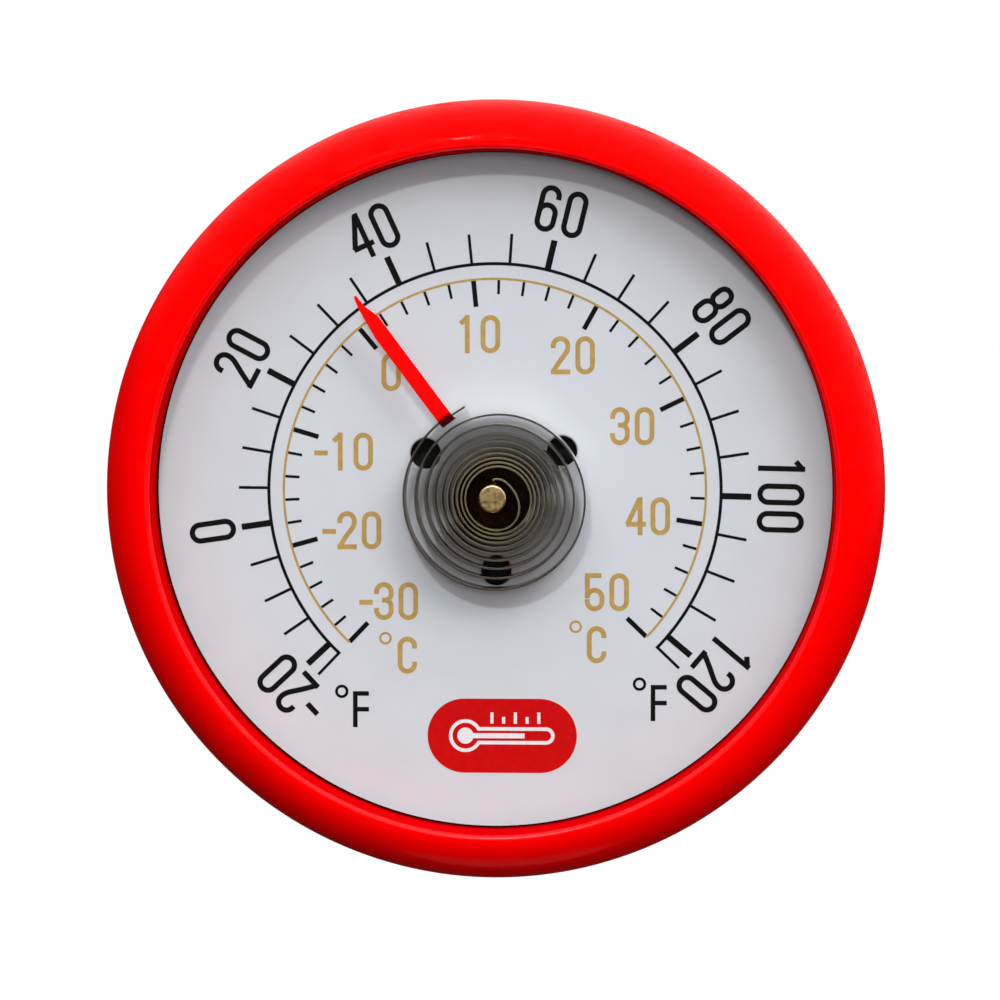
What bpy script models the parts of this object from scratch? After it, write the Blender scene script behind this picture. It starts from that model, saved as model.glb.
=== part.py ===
"""Wall dial thermometer: a bimetal coil turns a pointer over a 6 inch dial in a moulded ring.

Every sub-part is modelled in the dial's own frame and parented to the empty dial_frame, which turns
that frame upright. In the dial's frame +X is right, +Y is up the dial and +Z comes out of the wall
towards the reader, with z = 0 on the wall. In the world +X is right, +Z is up and the reader stands
at -Y. The world's origin is where the shank of the wall screw carries the keyhole, on the wall.
"""

import math

import bmesh
import bpy
from mathutils import Matrix, Vector

MM = 0.001
GAP = 0.3 * MM                      # air left between pieces that touch

# Where things stand, measured from the wall
HANG_HEIGHT = 50.0 * MM             # keyhole seat above the dial's centre
PAN_BACK_Z = 3.0 * MM
PAN_FLOOR_Z = 5.0 * MM
DIAL_BACK_Z = 9.8 * MM
DIAL_Z = 11.0 * MM                  # the dial's printed face
LENS_Z = 20.1 * MM
CREST_Z = 22.3 * MM                 # foremost point of the ring

# Moulded ring
RING_R = 76.2 * MM
RING_BACK_Z = 5.0 * MM
RING_WALL = 2.3 * MM
CREST_R = 67.4 * MM
SHOULDER_Z = 9.5 * MM               # where the rounded face meets the straight rim
WINDOW_R = 65.9 * MM                # dial that the ring leaves open
LEDGE_R = 66.1 * MM
LENS_R = 66.7 * MM
LENS_GROOVE_R = 67.0 * MM
LIP_R = 66.4 * MM
INNER_SKIN_R = 68.3 * MM
LENS_THICK = 1.5 * MM
LIP_STEP = 0.1 * MM                 # the lip's small steps over the lens and below the crest

# Dial
DIAL_R = 68.3 * MM
VENT_R = 2.95 * MM
VENT_CIRCLE_R = 15.4 * MM
VENT_ANGLES = (31.2, 151.2, 271.2)
VENT_CENTRE = (0.0, -0.3 * MM)
DIAL_HOLE_R = 7.4 * MM              # open round the movement, down to the pan's centre boss

# Rear pan
PAN_R = 66.0 * MM
PAN_INNER_R = 64.0 * MM
PAN_CHAMFER = 1.5 * MM
FLANGE_R = 73.5 * MM
FLANGE_Z = (5.4 * MM, 7.4 * MM)
SEAT_R = 68.0 * MM
SEAT_Z = 9.5 * MM
SLOT_COUNT = 14
SLOT_R = (22.0 * MM, 34.5 * MM)
SLOT_WIDTH = 3.0 * MM

# Screws between pan and ring
CASE_SCREW_ANGLES = (30.0, 150.0, 270.0)
CASE_SCREW_R = 71.0 * MM
BOSS_R = 2.4 * MM
PILOT_R = 1.6 * MM
PILOT_TOP_Z = 15.5 * MM
BOSS_TOP_Z = 17.6 * MM

# Movement: post, bushing and coil
MOVEMENT_DROP = 1.2 * MM            # the movement sits a little below the dial's centre
MOVEMENT = (0.0, -MOVEMENT_DROP)
CENTRE_BOSS_R = 9.0 * MM
CENTRE_BOSS_TOP_Z = 9.3 * MM
BOSS_BORE_R = 4.0 * MM
WELL_R = 6.4 * MM
WELL_TOP_Z = 6.2 * MM
BUSHING_R = 3.4 * MM
BUSHING_BORE_R = 2.4 * MM
BUSHING_FLANGE_R = 6.8 * MM
BUSHING_BACK_Z = 3.4 * MM
BUSHING_TOP_Z = 10.6 * MM
SHAFT_R = 2.1 * MM
COLLAR_R = 3.1 * MM
COLLAR_TOP_Z = 12.2 * MM
POST_R = 2.7 * MM
POST_END_Z = 19.7 * MM
LUG_HALF_WIDTH = 0.7 * MM            # rib of the post that the strip's inner end is staked to
POST_BACK_Z = 0.6 * MM
SETTING_SLOT = (0.8 * MM, 0.6 * MM)  # width and depth of the screwdriver slot
GROOVE_R = 1.6 * MM
GROOVE_Z = (1.35 * MM, 2.4 * MM)
CLIP_R = (1.95 * MM, 3.3 * MM)
LOCK_WASHER_R = 5.6 * MM
LOCK_WASHER_THICK = 0.5 * MM
NUT_R = 5.1 * MM
NUT_THICK = 1.5 * MM
SPRING_WASHER_R = 3.4 * MM
SPRING_WASHER_THICK = 0.25 * MM
SPRING_WASHER_DISH = 0.2 * MM

# Bimetal coil: radius = COIL_R + COIL_PITCH * u + COIL_SPREAD * u**3, u turns after COIL_SETTLED
COIL_START_DEG = 90.0
COIL_TURNS = 9.893
COIL_SETTLED = 0.75
COIL_R = 6.18 * MM
COIL_PITCH = 0.772 * MM
COIL_SPREAD = 0.00695 * MM
COIL_OFFSET = Vector((0.87 * MM, -0.15 * MM))  # the turns' centre, off the post's axis
COIL_Z = (12.6 * MM, 18.5 * MM)
LEAD_R = 4.05 * MM                  # radius at which the strip leaves the post
LEAD_RISE = 0.6 * MM
LEAD_RISE_TURNS = 0.03
LEAD_TURNS = (0.12, 0.48)           # where the strip swings from the post out to its first turn
STRIP_THICK = 0.25 * MM
TAIL_HEADING = 33.0                 # degrees, the straight end that carries the pointer
TAIL_LENGTH = 6.3 * MM

# Pointer
POINTER_HEADING = 126.8             # degrees
POINTER_ON_TAIL = 1.9 * MM          # where the blade's middle crosses the tail
POINTER_THICK = 0.4 * MM
POINTER_TOP_Z = 19.6 * MM
POINTER_TAB_Z = 14.6 * MM
POINTER_TAB_FACE = -1.05 * MM       # the tab's coil-side face, measured outwards from the strip
POINTER_BEND_R = 1.9 * MM
POINTER_LENGTH = 29.6 * MM
POINTER_HALF_WIDTH = 1.5 * MM

# Keyhole plate and its screws
PLATE_SIZE = (46.0 * MM, 20.0 * MM)
PLATE_CENTRE_Y = 46.5 * MM
PLATE_Z = (1.7 * MM, 2.7 * MM)
KEY_ENTRY_R = 4.75 * MM
KEY_SLOT_R = 2.4 * MM
KEY_ENTRY_Y = 43.0 * MM
PLATE_SCREW_X = 17.0 * MM
POCKET_X = 7.0 * MM
POCKET_Y = (36.5 * MM, 54.5 * MM)
POCKET_TOP_Z = 7.2 * MM
SKIN = 1.4 * MM
PLATE_BOSS_R = 3.2 * MM
PLATE_BOSS_TOP_Z = 8.8 * MM
PLATE_PILOT_TOP_Z = 7.8 * MM
PLATE_CORNER_R = 3.0 * MM

# Rubber wall pads
PAD_ANGLES = (45.0, 135.0, 225.0, 315.0)
PAD_CIRCLE_R = 52.0 * MM
PAD_R = 6.0 * MM
PAD_STEM_R = 1.8 * MM
PAD_STEM_TOP_Z = 6.8 * MM
PAD_HOLE_R = 2.1 * MM

# Self-tapping screws
SCREW_SHANK_R = 1.3 * MM
SCREW_SLOT = (0.6 * MM, 0.5 * MM)   # width and depth
CASE_SCREW_HEAD = (2.3 * MM, 1.7 * MM)  # radius and height
CASE_SCREW_TIP_Z = 14.5 * MM
PLATE_SCREW_HEAD = (2.5 * MM, 1.1 * MM)
PLATE_SCREW_TIP_Z = 7.4 * MM


# ---------------------------------------------------------------- scene and materials

def clear_scene():
    for obj in list(bpy.data.objects):
        bpy.data.objects.remove(obj, do_unlink=True)


def material(name, colour, roughness, metallic=0.0, alpha=1.0):
    mat = bpy.data.materials.new(name)
    mat.use_nodes = True
    shader = mat.node_tree.nodes["Principled BSDF"]
    shader.inputs["Base Color"].default_value = (*colour, 1.0)
    shader.inputs["Roughness"].default_value = roughness
    shader.inputs["Metallic"].default_value = metallic
    shader.inputs["Alpha"].default_value = alpha
    return mat


def polar(radius, degrees, centre=(0.0, 0.0)):
    angle = math.radians(degrees)
    return (centre[0] + radius * math.cos(angle), centre[1] + radius * math.sin(angle))


# ---------------------------------------------------------------- solids

def add_turned(bm, profile, segments, centre=(0.0, 0.0)):
    """Turn a closed (radius, z) outline about the dial's normal; radius 0 closes at a pole."""
    rings = []
    for radius, z in profile:
        if radius == 0.0:
            rings.append([bm.verts.new((*centre, z))])
        else:
            ring = [bm.verts.new((*polar(radius, 360.0 * k / segments, centre), z)) for k in range(segments)]
            rings.append(ring)
    for near, far in zip(rings, rings[1:] + rings[:1]):
        if len(near) == 1 and len(far) == 1:
            continue
        for k in range(segments):
            after = (k + 1) % segments
            corners = [near[k % len(near)], near[after % len(near)], far[after % len(far)], far[k % len(far)]]
            bm.faces.new(list(dict.fromkeys(corners)))


def add_prism(bm, outline, low_z, high_z):
    """Raise a closed outline of (x, y) points between two heights."""
    low = [bm.verts.new((x, y, low_z)) for x, y in outline]
    high = [bm.verts.new((x, y, high_z)) for x, y in outline]
    bm.faces.new(low[::-1])
    bm.faces.new(high)
    for k in range(len(outline)):
        after = (k + 1) % len(outline)
        bm.faces.new((low[k], low[after], high[after], high[k]))


def add_rod(bm, radius, low_z, high_z, centre=(0.0, 0.0), segments=20):
    add_prism(bm, [polar(radius, 360.0 * k / segments, centre) for k in range(segments)], low_z, high_z)


def add_block(bm, x, y, z):
    add_prism(bm, [(x[0], y[0]), (x[1], y[0]), (x[1], y[1]), (x[0], y[1])], *z)


def arc(radius, start, end, steps, centre=(0.0, 0.0)):
    return [polar(radius, start + (end - start) * k / steps, centre) for k in range(steps + 1)]


def make_object(name, bm, mat=None, place=(0.0, 0.0, 0.0)):
    """Close up a bmesh as an object of the dial frame, with its origin at place."""
    bmesh.ops.recalc_face_normals(bm, faces=bm.faces)
    bmesh.ops.translate(bm, vec=-Vector(place), verts=bm.verts)
    mesh = bpy.data.meshes.new(name)
    bm.to_mesh(mesh)
    bm.free()
    mesh.shade_smooth()
    mesh.set_sharp_from_angle(angle=math.radians(35.0))
    obj = bpy.data.objects.new(name, mesh)
    bpy.context.collection.objects.link(obj)
    obj.location = place
    obj.parent = bpy.data.objects["dial_frame"]
    if mat:
        mesh.materials.append(mat)
    return obj


def combine(obj, bm, operation, label):
    """Join solids to an object, or cut them out of it, with a Boolean against a wire guide."""
    guide = make_object(f"{obj.name}_{label}", bm, place=obj.location)
    guide.hide_render = True
    guide.display_type = "WIRE"
    boolean = obj.modifiers.new(label, "BOOLEAN")
    boolean.operation = operation
    boolean.solver = "EXACT"
    boolean.object = guide


# ---------------------------------------------------------------- ring, lens and dial

def face_arc(radius, height, steps):
    """Quarter ellipse of the ring's rounded face, from the crest out to the rim."""
    points = []
    for k in range(steps + 1):
        angle = 0.5 * math.pi * (1.0 - k / steps)
        points.append((CREST_R + radius * math.cos(angle), SHOULDER_Z + height * math.sin(angle)))
    return points


def ring_profile():
    lens_top = LENS_Z + LENS_THICK
    inner_wall = [
        (WINDOW_R, DIAL_Z + GAP),
        (LEDGE_R, LENS_Z - GAP),
        (LENS_GROOVE_R, LENS_Z - GAP),
        (LENS_GROOVE_R, lens_top + LIP_STEP),
        (LIP_R, lens_top + GAP),
        (LIP_R + GAP, CREST_Z - LIP_STEP),
    ]
    face = face_arc(RING_R - CREST_R, CREST_Z - SHOULDER_Z, 10)
    skin_radius = RING_R - RING_WALL - CREST_R
    skin_height = CREST_Z - SHOULDER_Z - RING_WALL
    skin = face_arc(skin_radius, skin_height, 8)[3:][::-1]
    rim = [(RING_R, RING_BACK_Z), (RING_R - RING_WALL, RING_BACK_Z)]
    root = [(INNER_SKIN_R, DIAL_Z + GAP)]
    return inner_wall + face + rim + skin + root


def build_ring(mat):
    bm = bmesh.new()
    add_turned(bm, ring_profile(), 72)
    ring = make_object("bezel_ring", bm, mat)
    bosses = bmesh.new()
    pilots = bmesh.new()
    for angle in CASE_SCREW_ANGLES:
        centre = polar(CASE_SCREW_R, angle)
        add_rod(bosses, BOSS_R, FLANGE_Z[1] + GAP, BOSS_TOP_Z, centre, 16)
        add_rod(pilots, PILOT_R, FLANGE_Z[1] - MM, PILOT_TOP_Z, centre, 12)
    combine(ring, bosses, "UNION", "bosses")
    combine(ring, pilots, "DIFFERENCE", "pilots")


def build_lens(mat):
    bm = bmesh.new()
    top = LENS_Z + LENS_THICK
    edge = 0.2 * MM
    profile = [(0.0, LENS_Z), (LENS_R, LENS_Z), (LENS_R, top - edge), (LENS_R - edge, top), (0.0, top)]
    add_turned(bm, profile, 72)
    make_object("lens", bm, mat)


def build_dial(mat):
    bm = bmesh.new()
    add_turned(bm, [(0.0, DIAL_BACK_Z), (DIAL_R, DIAL_BACK_Z), (DIAL_R, DIAL_Z), (0.0, DIAL_Z)], 72)
    dial = make_object("dial_plate", bm, mat)
    holes = bmesh.new()
    for angle in VENT_ANGLES:
        centre = polar(VENT_CIRCLE_R, angle, VENT_CENTRE)
        add_rod(holes, VENT_R, DIAL_BACK_Z - MM, DIAL_Z + MM, centre, 24)
    add_rod(holes, DIAL_HOLE_R, DIAL_BACK_Z - MM, DIAL_Z + MM, MOVEMENT, 32)
    combine(dial, holes, "DIFFERENCE", "holes")


# ---------------------------------------------------------------- rear pan

def pan_profile():
    return [
        (0.0, PAN_BACK_Z),
        (PAN_R - PAN_CHAMFER, PAN_BACK_Z),
        (PAN_R, PAN_BACK_Z + PAN_CHAMFER),
        (PAN_R, FLANGE_Z[0]),
        (FLANGE_R, FLANGE_Z[0]),
        (FLANGE_R, FLANGE_Z[1]),
        (SEAT_R, FLANGE_Z[1]),
        (SEAT_R, SEAT_Z),
        (PAN_INNER_R, SEAT_Z),
        (PAN_INNER_R, PAN_FLOOR_Z),
        (0.0, PAN_FLOOR_Z),
    ]


def keyhole_outline():
    """A round entry with a narrower slot above it, ending in a half round at the hang height."""
    half_mouth = math.degrees(math.asin(KEY_SLOT_R / KEY_ENTRY_R))
    entry = arc(KEY_ENTRY_R, 90.0 + half_mouth, 450.0 - half_mouth, 20, (0.0, KEY_ENTRY_Y))
    return entry + arc(KEY_SLOT_R, 0.0, 180.0, 10, (0.0, HANG_HEIGHT))


def slot_outline(angle):
    """A radial slot with round ends."""
    half = SLOT_WIDTH / 2.0
    inner = polar(SLOT_R[0] + half, angle)
    outer = polar(SLOT_R[1] - half, angle)
    return arc(half, angle - 90.0, angle + 90.0, 6, outer) + arc(half, angle + 90.0, angle + 270.0, 6, inner)


def build_pan(mat):
    bm = bmesh.new()
    add_turned(bm, pan_profile(), 72)
    pan = make_object("rear_case", bm, mat)

    raised = bmesh.new()
    root_z = PAN_FLOOR_Z - MM
    add_rod(raised, CENTRE_BOSS_R, root_z, CENTRE_BOSS_TOP_Z, MOVEMENT, 32)
    pocket_y = (POCKET_Y[0] - SKIN, POCKET_Y[1] + SKIN)
    add_block(raised, (-POCKET_X - SKIN, POCKET_X + SKIN), pocket_y, (root_z, POCKET_TOP_Z + SKIN))
    for x in (-PLATE_SCREW_X, PLATE_SCREW_X):
        add_rod(raised, PLATE_BOSS_R, root_z, PLATE_BOSS_TOP_Z, (x, PLATE_CENTRE_Y), 16)
    combine(pan, raised, "UNION", "bosses")

    cuts = bmesh.new()
    below = PAN_BACK_Z - MM
    well = [(0.0, below), (WELL_R, below), (WELL_R, WELL_TOP_Z), (BOSS_BORE_R, WELL_TOP_Z)]
    bore_top = CENTRE_BOSS_TOP_Z + MM
    add_turned(cuts, well + [(BOSS_BORE_R, bore_top), (0.0, bore_top)], 32, MOVEMENT)
    add_block(cuts, (-POCKET_X, POCKET_X), POCKET_Y, (below, POCKET_TOP_Z))
    for x in (-PLATE_SCREW_X, PLATE_SCREW_X):
        add_rod(cuts, PILOT_R, below, PLATE_PILOT_TOP_Z, (x, PLATE_CENTRE_Y), 12)
    for angle in CASE_SCREW_ANGLES:
        add_rod(cuts, PILOT_R, FLANGE_Z[0] - MM, FLANGE_Z[1] + MM, polar(CASE_SCREW_R, angle), 12)
    for angle in PAD_ANGLES:
        add_rod(cuts, PAD_HOLE_R, below, PAN_FLOOR_Z + MM, polar(PAD_CIRCLE_R, angle), 16)
    for k in range(SLOT_COUNT):
        angle = 360.0 * (k + 0.5) / SLOT_COUNT - 90.0
        add_prism(cuts, slot_outline(angle), below, PAN_FLOOR_Z + MM)
    combine(pan, cuts, "DIFFERENCE", "cuts")


# ---------------------------------------------------------------- movement

def on_axis(name, bm, mat):
    """A piece of the movement, with its origin on the post's axis."""
    return make_object(name, bm, mat, (*MOVEMENT, 0.0))


def build_bushing(brass):
    seat = CENTRE_BOSS_TOP_Z + GAP
    bm = bmesh.new()
    profile = [
        (BUSHING_BORE_R, BUSHING_BACK_Z),
        (BUSHING_R, BUSHING_BACK_Z),
        (BUSHING_R, seat),
        (BUSHING_FLANGE_R, seat),
        (BUSHING_FLANGE_R, BUSHING_TOP_Z),
        (BUSHING_BORE_R, BUSHING_TOP_Z),
    ]
    add_turned(bm, profile, 32, MOVEMENT)
    on_axis("post_bushing", bm, brass)


def build_nut_and_washer(steel):
    inner = BUSHING_R + GAP
    high = WELL_TOP_Z - GAP
    low = high - LOCK_WASHER_THICK
    bm = bmesh.new()
    add_turned(bm, [(inner, low), (LOCK_WASHER_R, low), (LOCK_WASHER_R, high), (inner, high)], 24, MOVEMENT)
    on_axis("lock_washer", bm, steel)

    nut_top = low - GAP
    nut_back = nut_top - NUT_THICK
    bm = bmesh.new()
    add_rod(bm, NUT_R, nut_back, nut_top, MOVEMENT, 6)
    nut = on_axis("bushing_nut", bm, steel)
    bore = bmesh.new()
    add_rod(bore, inner, nut_back - MM, nut_top + MM, MOVEMENT, 24)
    combine(nut, bore, "DIFFERENCE", "bore")


def build_spring_washer(steel):
    """A dished washer, pressed between the bushing and the clip."""
    inner = SHAFT_R + GAP
    high = BUSHING_BACK_Z - GAP
    dished = high - SPRING_WASHER_DISH
    profile = [
        (inner, dished - SPRING_WASHER_THICK),
        (SPRING_WASHER_R, high - SPRING_WASHER_THICK),
        (SPRING_WASHER_R, high),
        (inner, dished),
    ]
    bm = bmesh.new()
    add_turned(bm, profile, 24, MOVEMENT)
    on_axis("spring_washer", bm, steel)


def build_clip(steel):
    """A C-shaped clip in the post's groove: its opening faces down the dial."""
    outer = arc(CLIP_R[1], -65.0, 245.0, 20, MOVEMENT)
    inner = arc(CLIP_R[0], 230.0, -50.0, 16, MOVEMENT)
    bm = bmesh.new()
    add_prism(bm, outer + inner, GROOVE_Z[0] + GAP, GROOVE_Z[1] - GAP)
    on_axis("retaining_clip", bm, steel)


def build_post(brass):
    edge = 0.25 * MM
    collar_z = BUSHING_TOP_Z + GAP
    profile = [
        (0.0, POST_BACK_Z),
        (SHAFT_R, POST_BACK_Z),
        (SHAFT_R, GROOVE_Z[0]),
        (GROOVE_R, GROOVE_Z[0]),
        (GROOVE_R, GROOVE_Z[1]),
        (SHAFT_R, GROOVE_Z[1]),
        (SHAFT_R, collar_z),
        (COLLAR_R, collar_z),
        (COLLAR_R, COLLAR_TOP_Z),
        (POST_R, COLLAR_TOP_Z),
        (POST_R, POST_END_Z - edge),
        (POST_R - edge, POST_END_Z),
        (0.0, POST_END_Z),
    ]
    bm = bmesh.new()
    add_turned(bm, profile, 32, MOVEMENT)
    post = on_axis("centre_post", bm, brass)
    lug = bmesh.new()
    lug_y = (MOVEMENT[1] + SHAFT_R, MOVEMENT[1] + COLLAR_R)
    add_block(lug, (-LUG_HALF_WIDTH, LUG_HALF_WIDTH), lug_y, COIL_Z)
    combine(post, lug, "UNION", "strip_lug")
    slot = bmesh.new()
    half = SETTING_SLOT[0] / 2.0
    reach = SHAFT_R + MM
    slot_y = (MOVEMENT[1] - half, MOVEMENT[1] + half)
    add_block(slot, (-reach, reach), slot_y, (POST_BACK_Z - MM, POST_BACK_Z + SETTING_SLOT[1]))
    combine(post, slot, "DIFFERENCE", "setting_slot")


def coil_point(turns):
    """Middle of the strip, a number of turns clockwise from where it leaves the post."""
    ramp = min(max((turns - LEAD_TURNS[0]) / (LEAD_TURNS[1] - LEAD_TURNS[0]), 0.0), 1.0)
    swing = ramp * ramp * (3.0 - 2.0 * ramp)
    lead = LEAD_R - LEAD_RISE * math.exp(-turns / LEAD_RISE_TURNS)
    grown = turns - COIL_SETTLED
    settled = COIL_R + COIL_PITCH * grown + COIL_SPREAD * grown ** 3
    outwards = Vector(polar(1.0, COIL_START_DEG - 360.0 * turns))
    return Vector(MOVEMENT) + COIL_OFFSET * swing + outwards * (lead + (settled - lead) * swing)


def heading(degrees):
    return Vector(polar(1.0, degrees))


def coil_path(steps_per_turn=26):
    """The strip's middle line: the spiral, then the straight tail that carries the pointer."""
    steps = math.ceil(COIL_TURNS * steps_per_turn)
    points = [coil_point(COIL_TURNS * k / steps) for k in range(steps + 1)]
    return points + [points[-1] + heading(TAIL_HEADING) * TAIL_LENGTH]


def build_coil(mat):
    points = coil_path()
    bm = bmesh.new()
    sections = []
    for k, point in enumerate(points):
        before = points[max(k - 1, 0)]
        after = points[min(k + 1, len(points) - 1)]
        along = (after - before).normalized()
        side = Vector((-along.y, along.x)) * (STRIP_THICK / 2.0)
        corners = [(point + side, COIL_Z[0]), (point - side, COIL_Z[0])]
        corners += [(point - side, COIL_Z[1]), (point + side, COIL_Z[1])]
        sections.append([bm.verts.new((*spot, z)) for spot, z in corners])
    for here, there in zip(sections, sections[1:]):
        for k in range(4):
            after = (k + 1) % 4
            bm.faces.new((here[k], here[after], there[after], there[k]))
    bm.faces.new(sections[0][::-1])
    bm.faces.new(sections[-1])
    on_axis("bimetal_coil", bm, mat)


def pointer_side():
    """Side view of the pointer as (distance out from the strip, z): a blade with its end folded down."""
    face = POINTER_TAB_FACE
    bottom = POINTER_TOP_Z - POINTER_THICK
    bend = (face + POINTER_BEND_R, POINTER_TOP_Z - POINTER_BEND_R)
    outer = arc(POINTER_BEND_R, 180.0, 90.0, 6, bend)
    inner = arc(POINTER_BEND_R - POINTER_THICK, 90.0, 180.0, 6, bend)
    tip = [(POINTER_LENGTH, POINTER_TOP_Z), (POINTER_LENGTH, bottom)]
    return [(face + POINTER_THICK, POINTER_TAB_Z), (face, POINTER_TAB_Z)] + outer + tip + inner


def pointer_plan():
    """Plan of the blade as (distance out, sideways): a spear point with a steeper right shoulder."""
    half = POINTER_HALF_WIDTH
    foot = POINTER_TAB_FACE - MM
    left = [(foot, -half), (POINTER_LENGTH - 8.9 * MM, -half), (POINTER_LENGTH - 2.4 * MM, -0.7 * MM)]
    point = [(POINTER_LENGTH - 0.2 * MM, -0.1 * MM), (POINTER_LENGTH - 0.1 * MM, 0.4 * MM)]
    right = [(POINTER_LENGTH - 2.7 * MM, 0.5 * MM), (POINTER_LENGTH - 5.8 * MM, half), (foot, half)]
    return left + point + right


def build_pointer(mat):
    """The folded tab stands on the coil side of the strip's tail, and the blade crosses over it."""
    outwards = heading(POINTER_HEADING)
    sideways = heading(POINTER_HEADING - 90.0)
    foot = coil_path()[-2] + heading(TAIL_HEADING) * POINTER_ON_TAIL
    to_dial = Matrix((
        (outwards.x, sideways.x, 0.0, foot.x),
        (outwards.y, sideways.y, 0.0, foot.y),
        (0.0, 0.0, 1.0, 0.0),
        (0.0, 0.0, 0.0, 1.0),
    ))

    side = pointer_side()
    reach = POINTER_HALF_WIDTH + MM
    bm = bmesh.new()
    near = [bm.verts.new((x, -reach, z)) for x, z in side]
    far = [bm.verts.new((x, reach, z)) for x, z in side]
    bm.faces.new(near)
    bm.faces.new(far[::-1])
    for k in range(len(side)):
        after = (k + 1) % len(side)
        bm.faces.new((near[after], near[k], far[k], far[after]))
    bmesh.ops.transform(bm, matrix=to_dial, verts=bm.verts)
    pointer = on_axis("pointer", bm, mat)

    plan = bmesh.new()
    add_prism(plan, pointer_plan(), POINTER_TAB_Z - MM, POINTER_TOP_Z + MM)
    bmesh.ops.transform(plan, matrix=to_dial, verts=plan.verts)
    combine(pointer, plan, "INTERSECT", "plan")


# ---------------------------------------------------------------- fasteners, hanger and pads

def build_screw(name, mat, centre, head, seat_z, tip_z):
    """Pan-head screw driven in from behind up to seat_z, with a slot across its head."""
    head_r, head_height = head
    crown_z = seat_z - head_height
    dome = 0.4 * MM
    profile = [
        (0.0, crown_z),
        (head_r - dome, crown_z),
        (head_r, crown_z + dome),
        (head_r, seat_z),
        (SCREW_SHANK_R, seat_z),
        (SCREW_SHANK_R, tip_z - MM),
        (0.0, tip_z),
    ]
    bm = bmesh.new()
    add_turned(bm, profile, 16, centre)
    screw = make_object(name, bm, mat, (*centre, 0.0))
    slot = bmesh.new()
    half = SCREW_SLOT[0] / 2.0
    reach = head_r + MM
    slot_y = (centre[1] - half, centre[1] + half)
    add_block(slot, (centre[0] - reach, centre[0] + reach), slot_y, (crown_z - MM, crown_z + SCREW_SLOT[1]))
    combine(screw, slot, "DIFFERENCE", "driver_slot")


def build_case_screws(mat):
    seat_z = FLANGE_Z[0] - GAP
    for k, angle in enumerate(CASE_SCREW_ANGLES, 1):
        centre = polar(CASE_SCREW_R, angle)
        build_screw(f"case_screw_{k}", mat, centre, CASE_SCREW_HEAD, seat_z, CASE_SCREW_TIP_Z)


def build_hanger(mat):
    half_x = PLATE_SIZE[0] / 2.0
    half_y = PLATE_SIZE[1] / 2.0
    outline = []
    for x, y, start in ((1, 1, 0.0), (-1, 1, 90.0), (-1, -1, 180.0), (1, -1, 270.0)):
        centre = (x * (half_x - PLATE_CORNER_R), PLATE_CENTRE_Y + y * (half_y - PLATE_CORNER_R))
        outline += arc(PLATE_CORNER_R, start, start + 90.0, 4, centre)
    bm = bmesh.new()
    add_prism(bm, outline, *PLATE_Z)
    plate = make_object("hanger_plate", bm, mat)
    cuts = bmesh.new()
    add_prism(cuts, keyhole_outline(), PLATE_Z[0] - MM, PLATE_Z[1] + MM)
    for x in (-PLATE_SCREW_X, PLATE_SCREW_X):
        add_rod(cuts, PILOT_R, PLATE_Z[0] - MM, PLATE_Z[1] + MM, (x, PLATE_CENTRE_Y), 16)
    combine(plate, cuts, "DIFFERENCE", "keyhole")
    seat_z = PLATE_Z[0] - GAP
    for k, x in enumerate((-PLATE_SCREW_X, PLATE_SCREW_X), 1):
        centre = (x, PLATE_CENTRE_Y)
        build_screw(f"hanger_screw_{k}", mat, centre, PLATE_SCREW_HEAD, seat_z, PLATE_SCREW_TIP_Z)


def build_pads(mat):
    neck_z = PAN_BACK_Z - GAP
    edge = 0.5 * MM
    for k, angle in enumerate(PAD_ANGLES, 1):
        centre = polar(PAD_CIRCLE_R, angle)
        bm = bmesh.new()
        profile = [
            (0.0, 0.0),
            (PAD_R - edge, 0.0),
            (PAD_R, edge),
            (PAD_R - edge, neck_z),
            (PAD_STEM_R, neck_z),
            (PAD_STEM_R, PAD_STEM_TOP_Z - edge),
            (0.0, PAD_STEM_TOP_Z),
        ]
        add_turned(bm, profile, 24, centre)
        make_object(f"wall_pad_{k}", bm, mat, (*centre, 0.0))


# ---------------------------------------------------------------- whole thermometer

def build():
    clear_scene()
    frame = bpy.data.objects.new("dial_frame", None)
    bpy.context.collection.objects.link(frame)
    frame.location = (0.0, 0.0, -HANG_HEIGHT)
    frame.rotation_euler = (math.radians(90.0), 0.0, 0.0)

    red_plastic = material("red_plastic", (0.80, 0.003, 0.003), 0.28)
    black_plastic = material("black_plastic", (0.012, 0.012, 0.013), 0.5)
    dial_plastic = material("dial_plastic", (0.74, 0.76, 0.79), 0.45)
    clear_plastic = material("clear_plastic", (1.0, 1.0, 1.0), 0.05, alpha=0.1)
    bimetal = material("bimetal", (0.30, 0.26, 0.21), 0.35, 1.0)
    brass = material("brass", (0.62, 0.42, 0.16), 0.35, 1.0)
    red_paint = material("red_paint", (0.90, 0.004, 0.004), 0.45)
    steel = material("zinc_plated_steel", (0.62, 0.63, 0.64), 0.35, 1.0)
    rubber = material("black_rubber", (0.018, 0.018, 0.018), 0.8)

    build_ring(red_plastic)
    build_lens(clear_plastic)
    build_dial(dial_plastic)
    build_pan(black_plastic)
    build_bushing(brass)
    build_nut_and_washer(steel)
    build_spring_washer(steel)
    build_clip(steel)
    build_post(brass)
    build_coil(bimetal)
    build_pointer(red_paint)
    build_case_screws(steel)
    build_hanger(steel)
    build_pads(rubber)


build()
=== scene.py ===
"""Looks of the wall dial thermometer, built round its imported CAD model.

Pieces are modelled in the dial's own frame, in metres: +X is right, +Y is up the dial and +Z comes out of
the wall towards the reader, with z = 0 on the wall. UPRIGHT stands that frame up in the world, where the
reader is at -Y.
"""

import math

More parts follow.
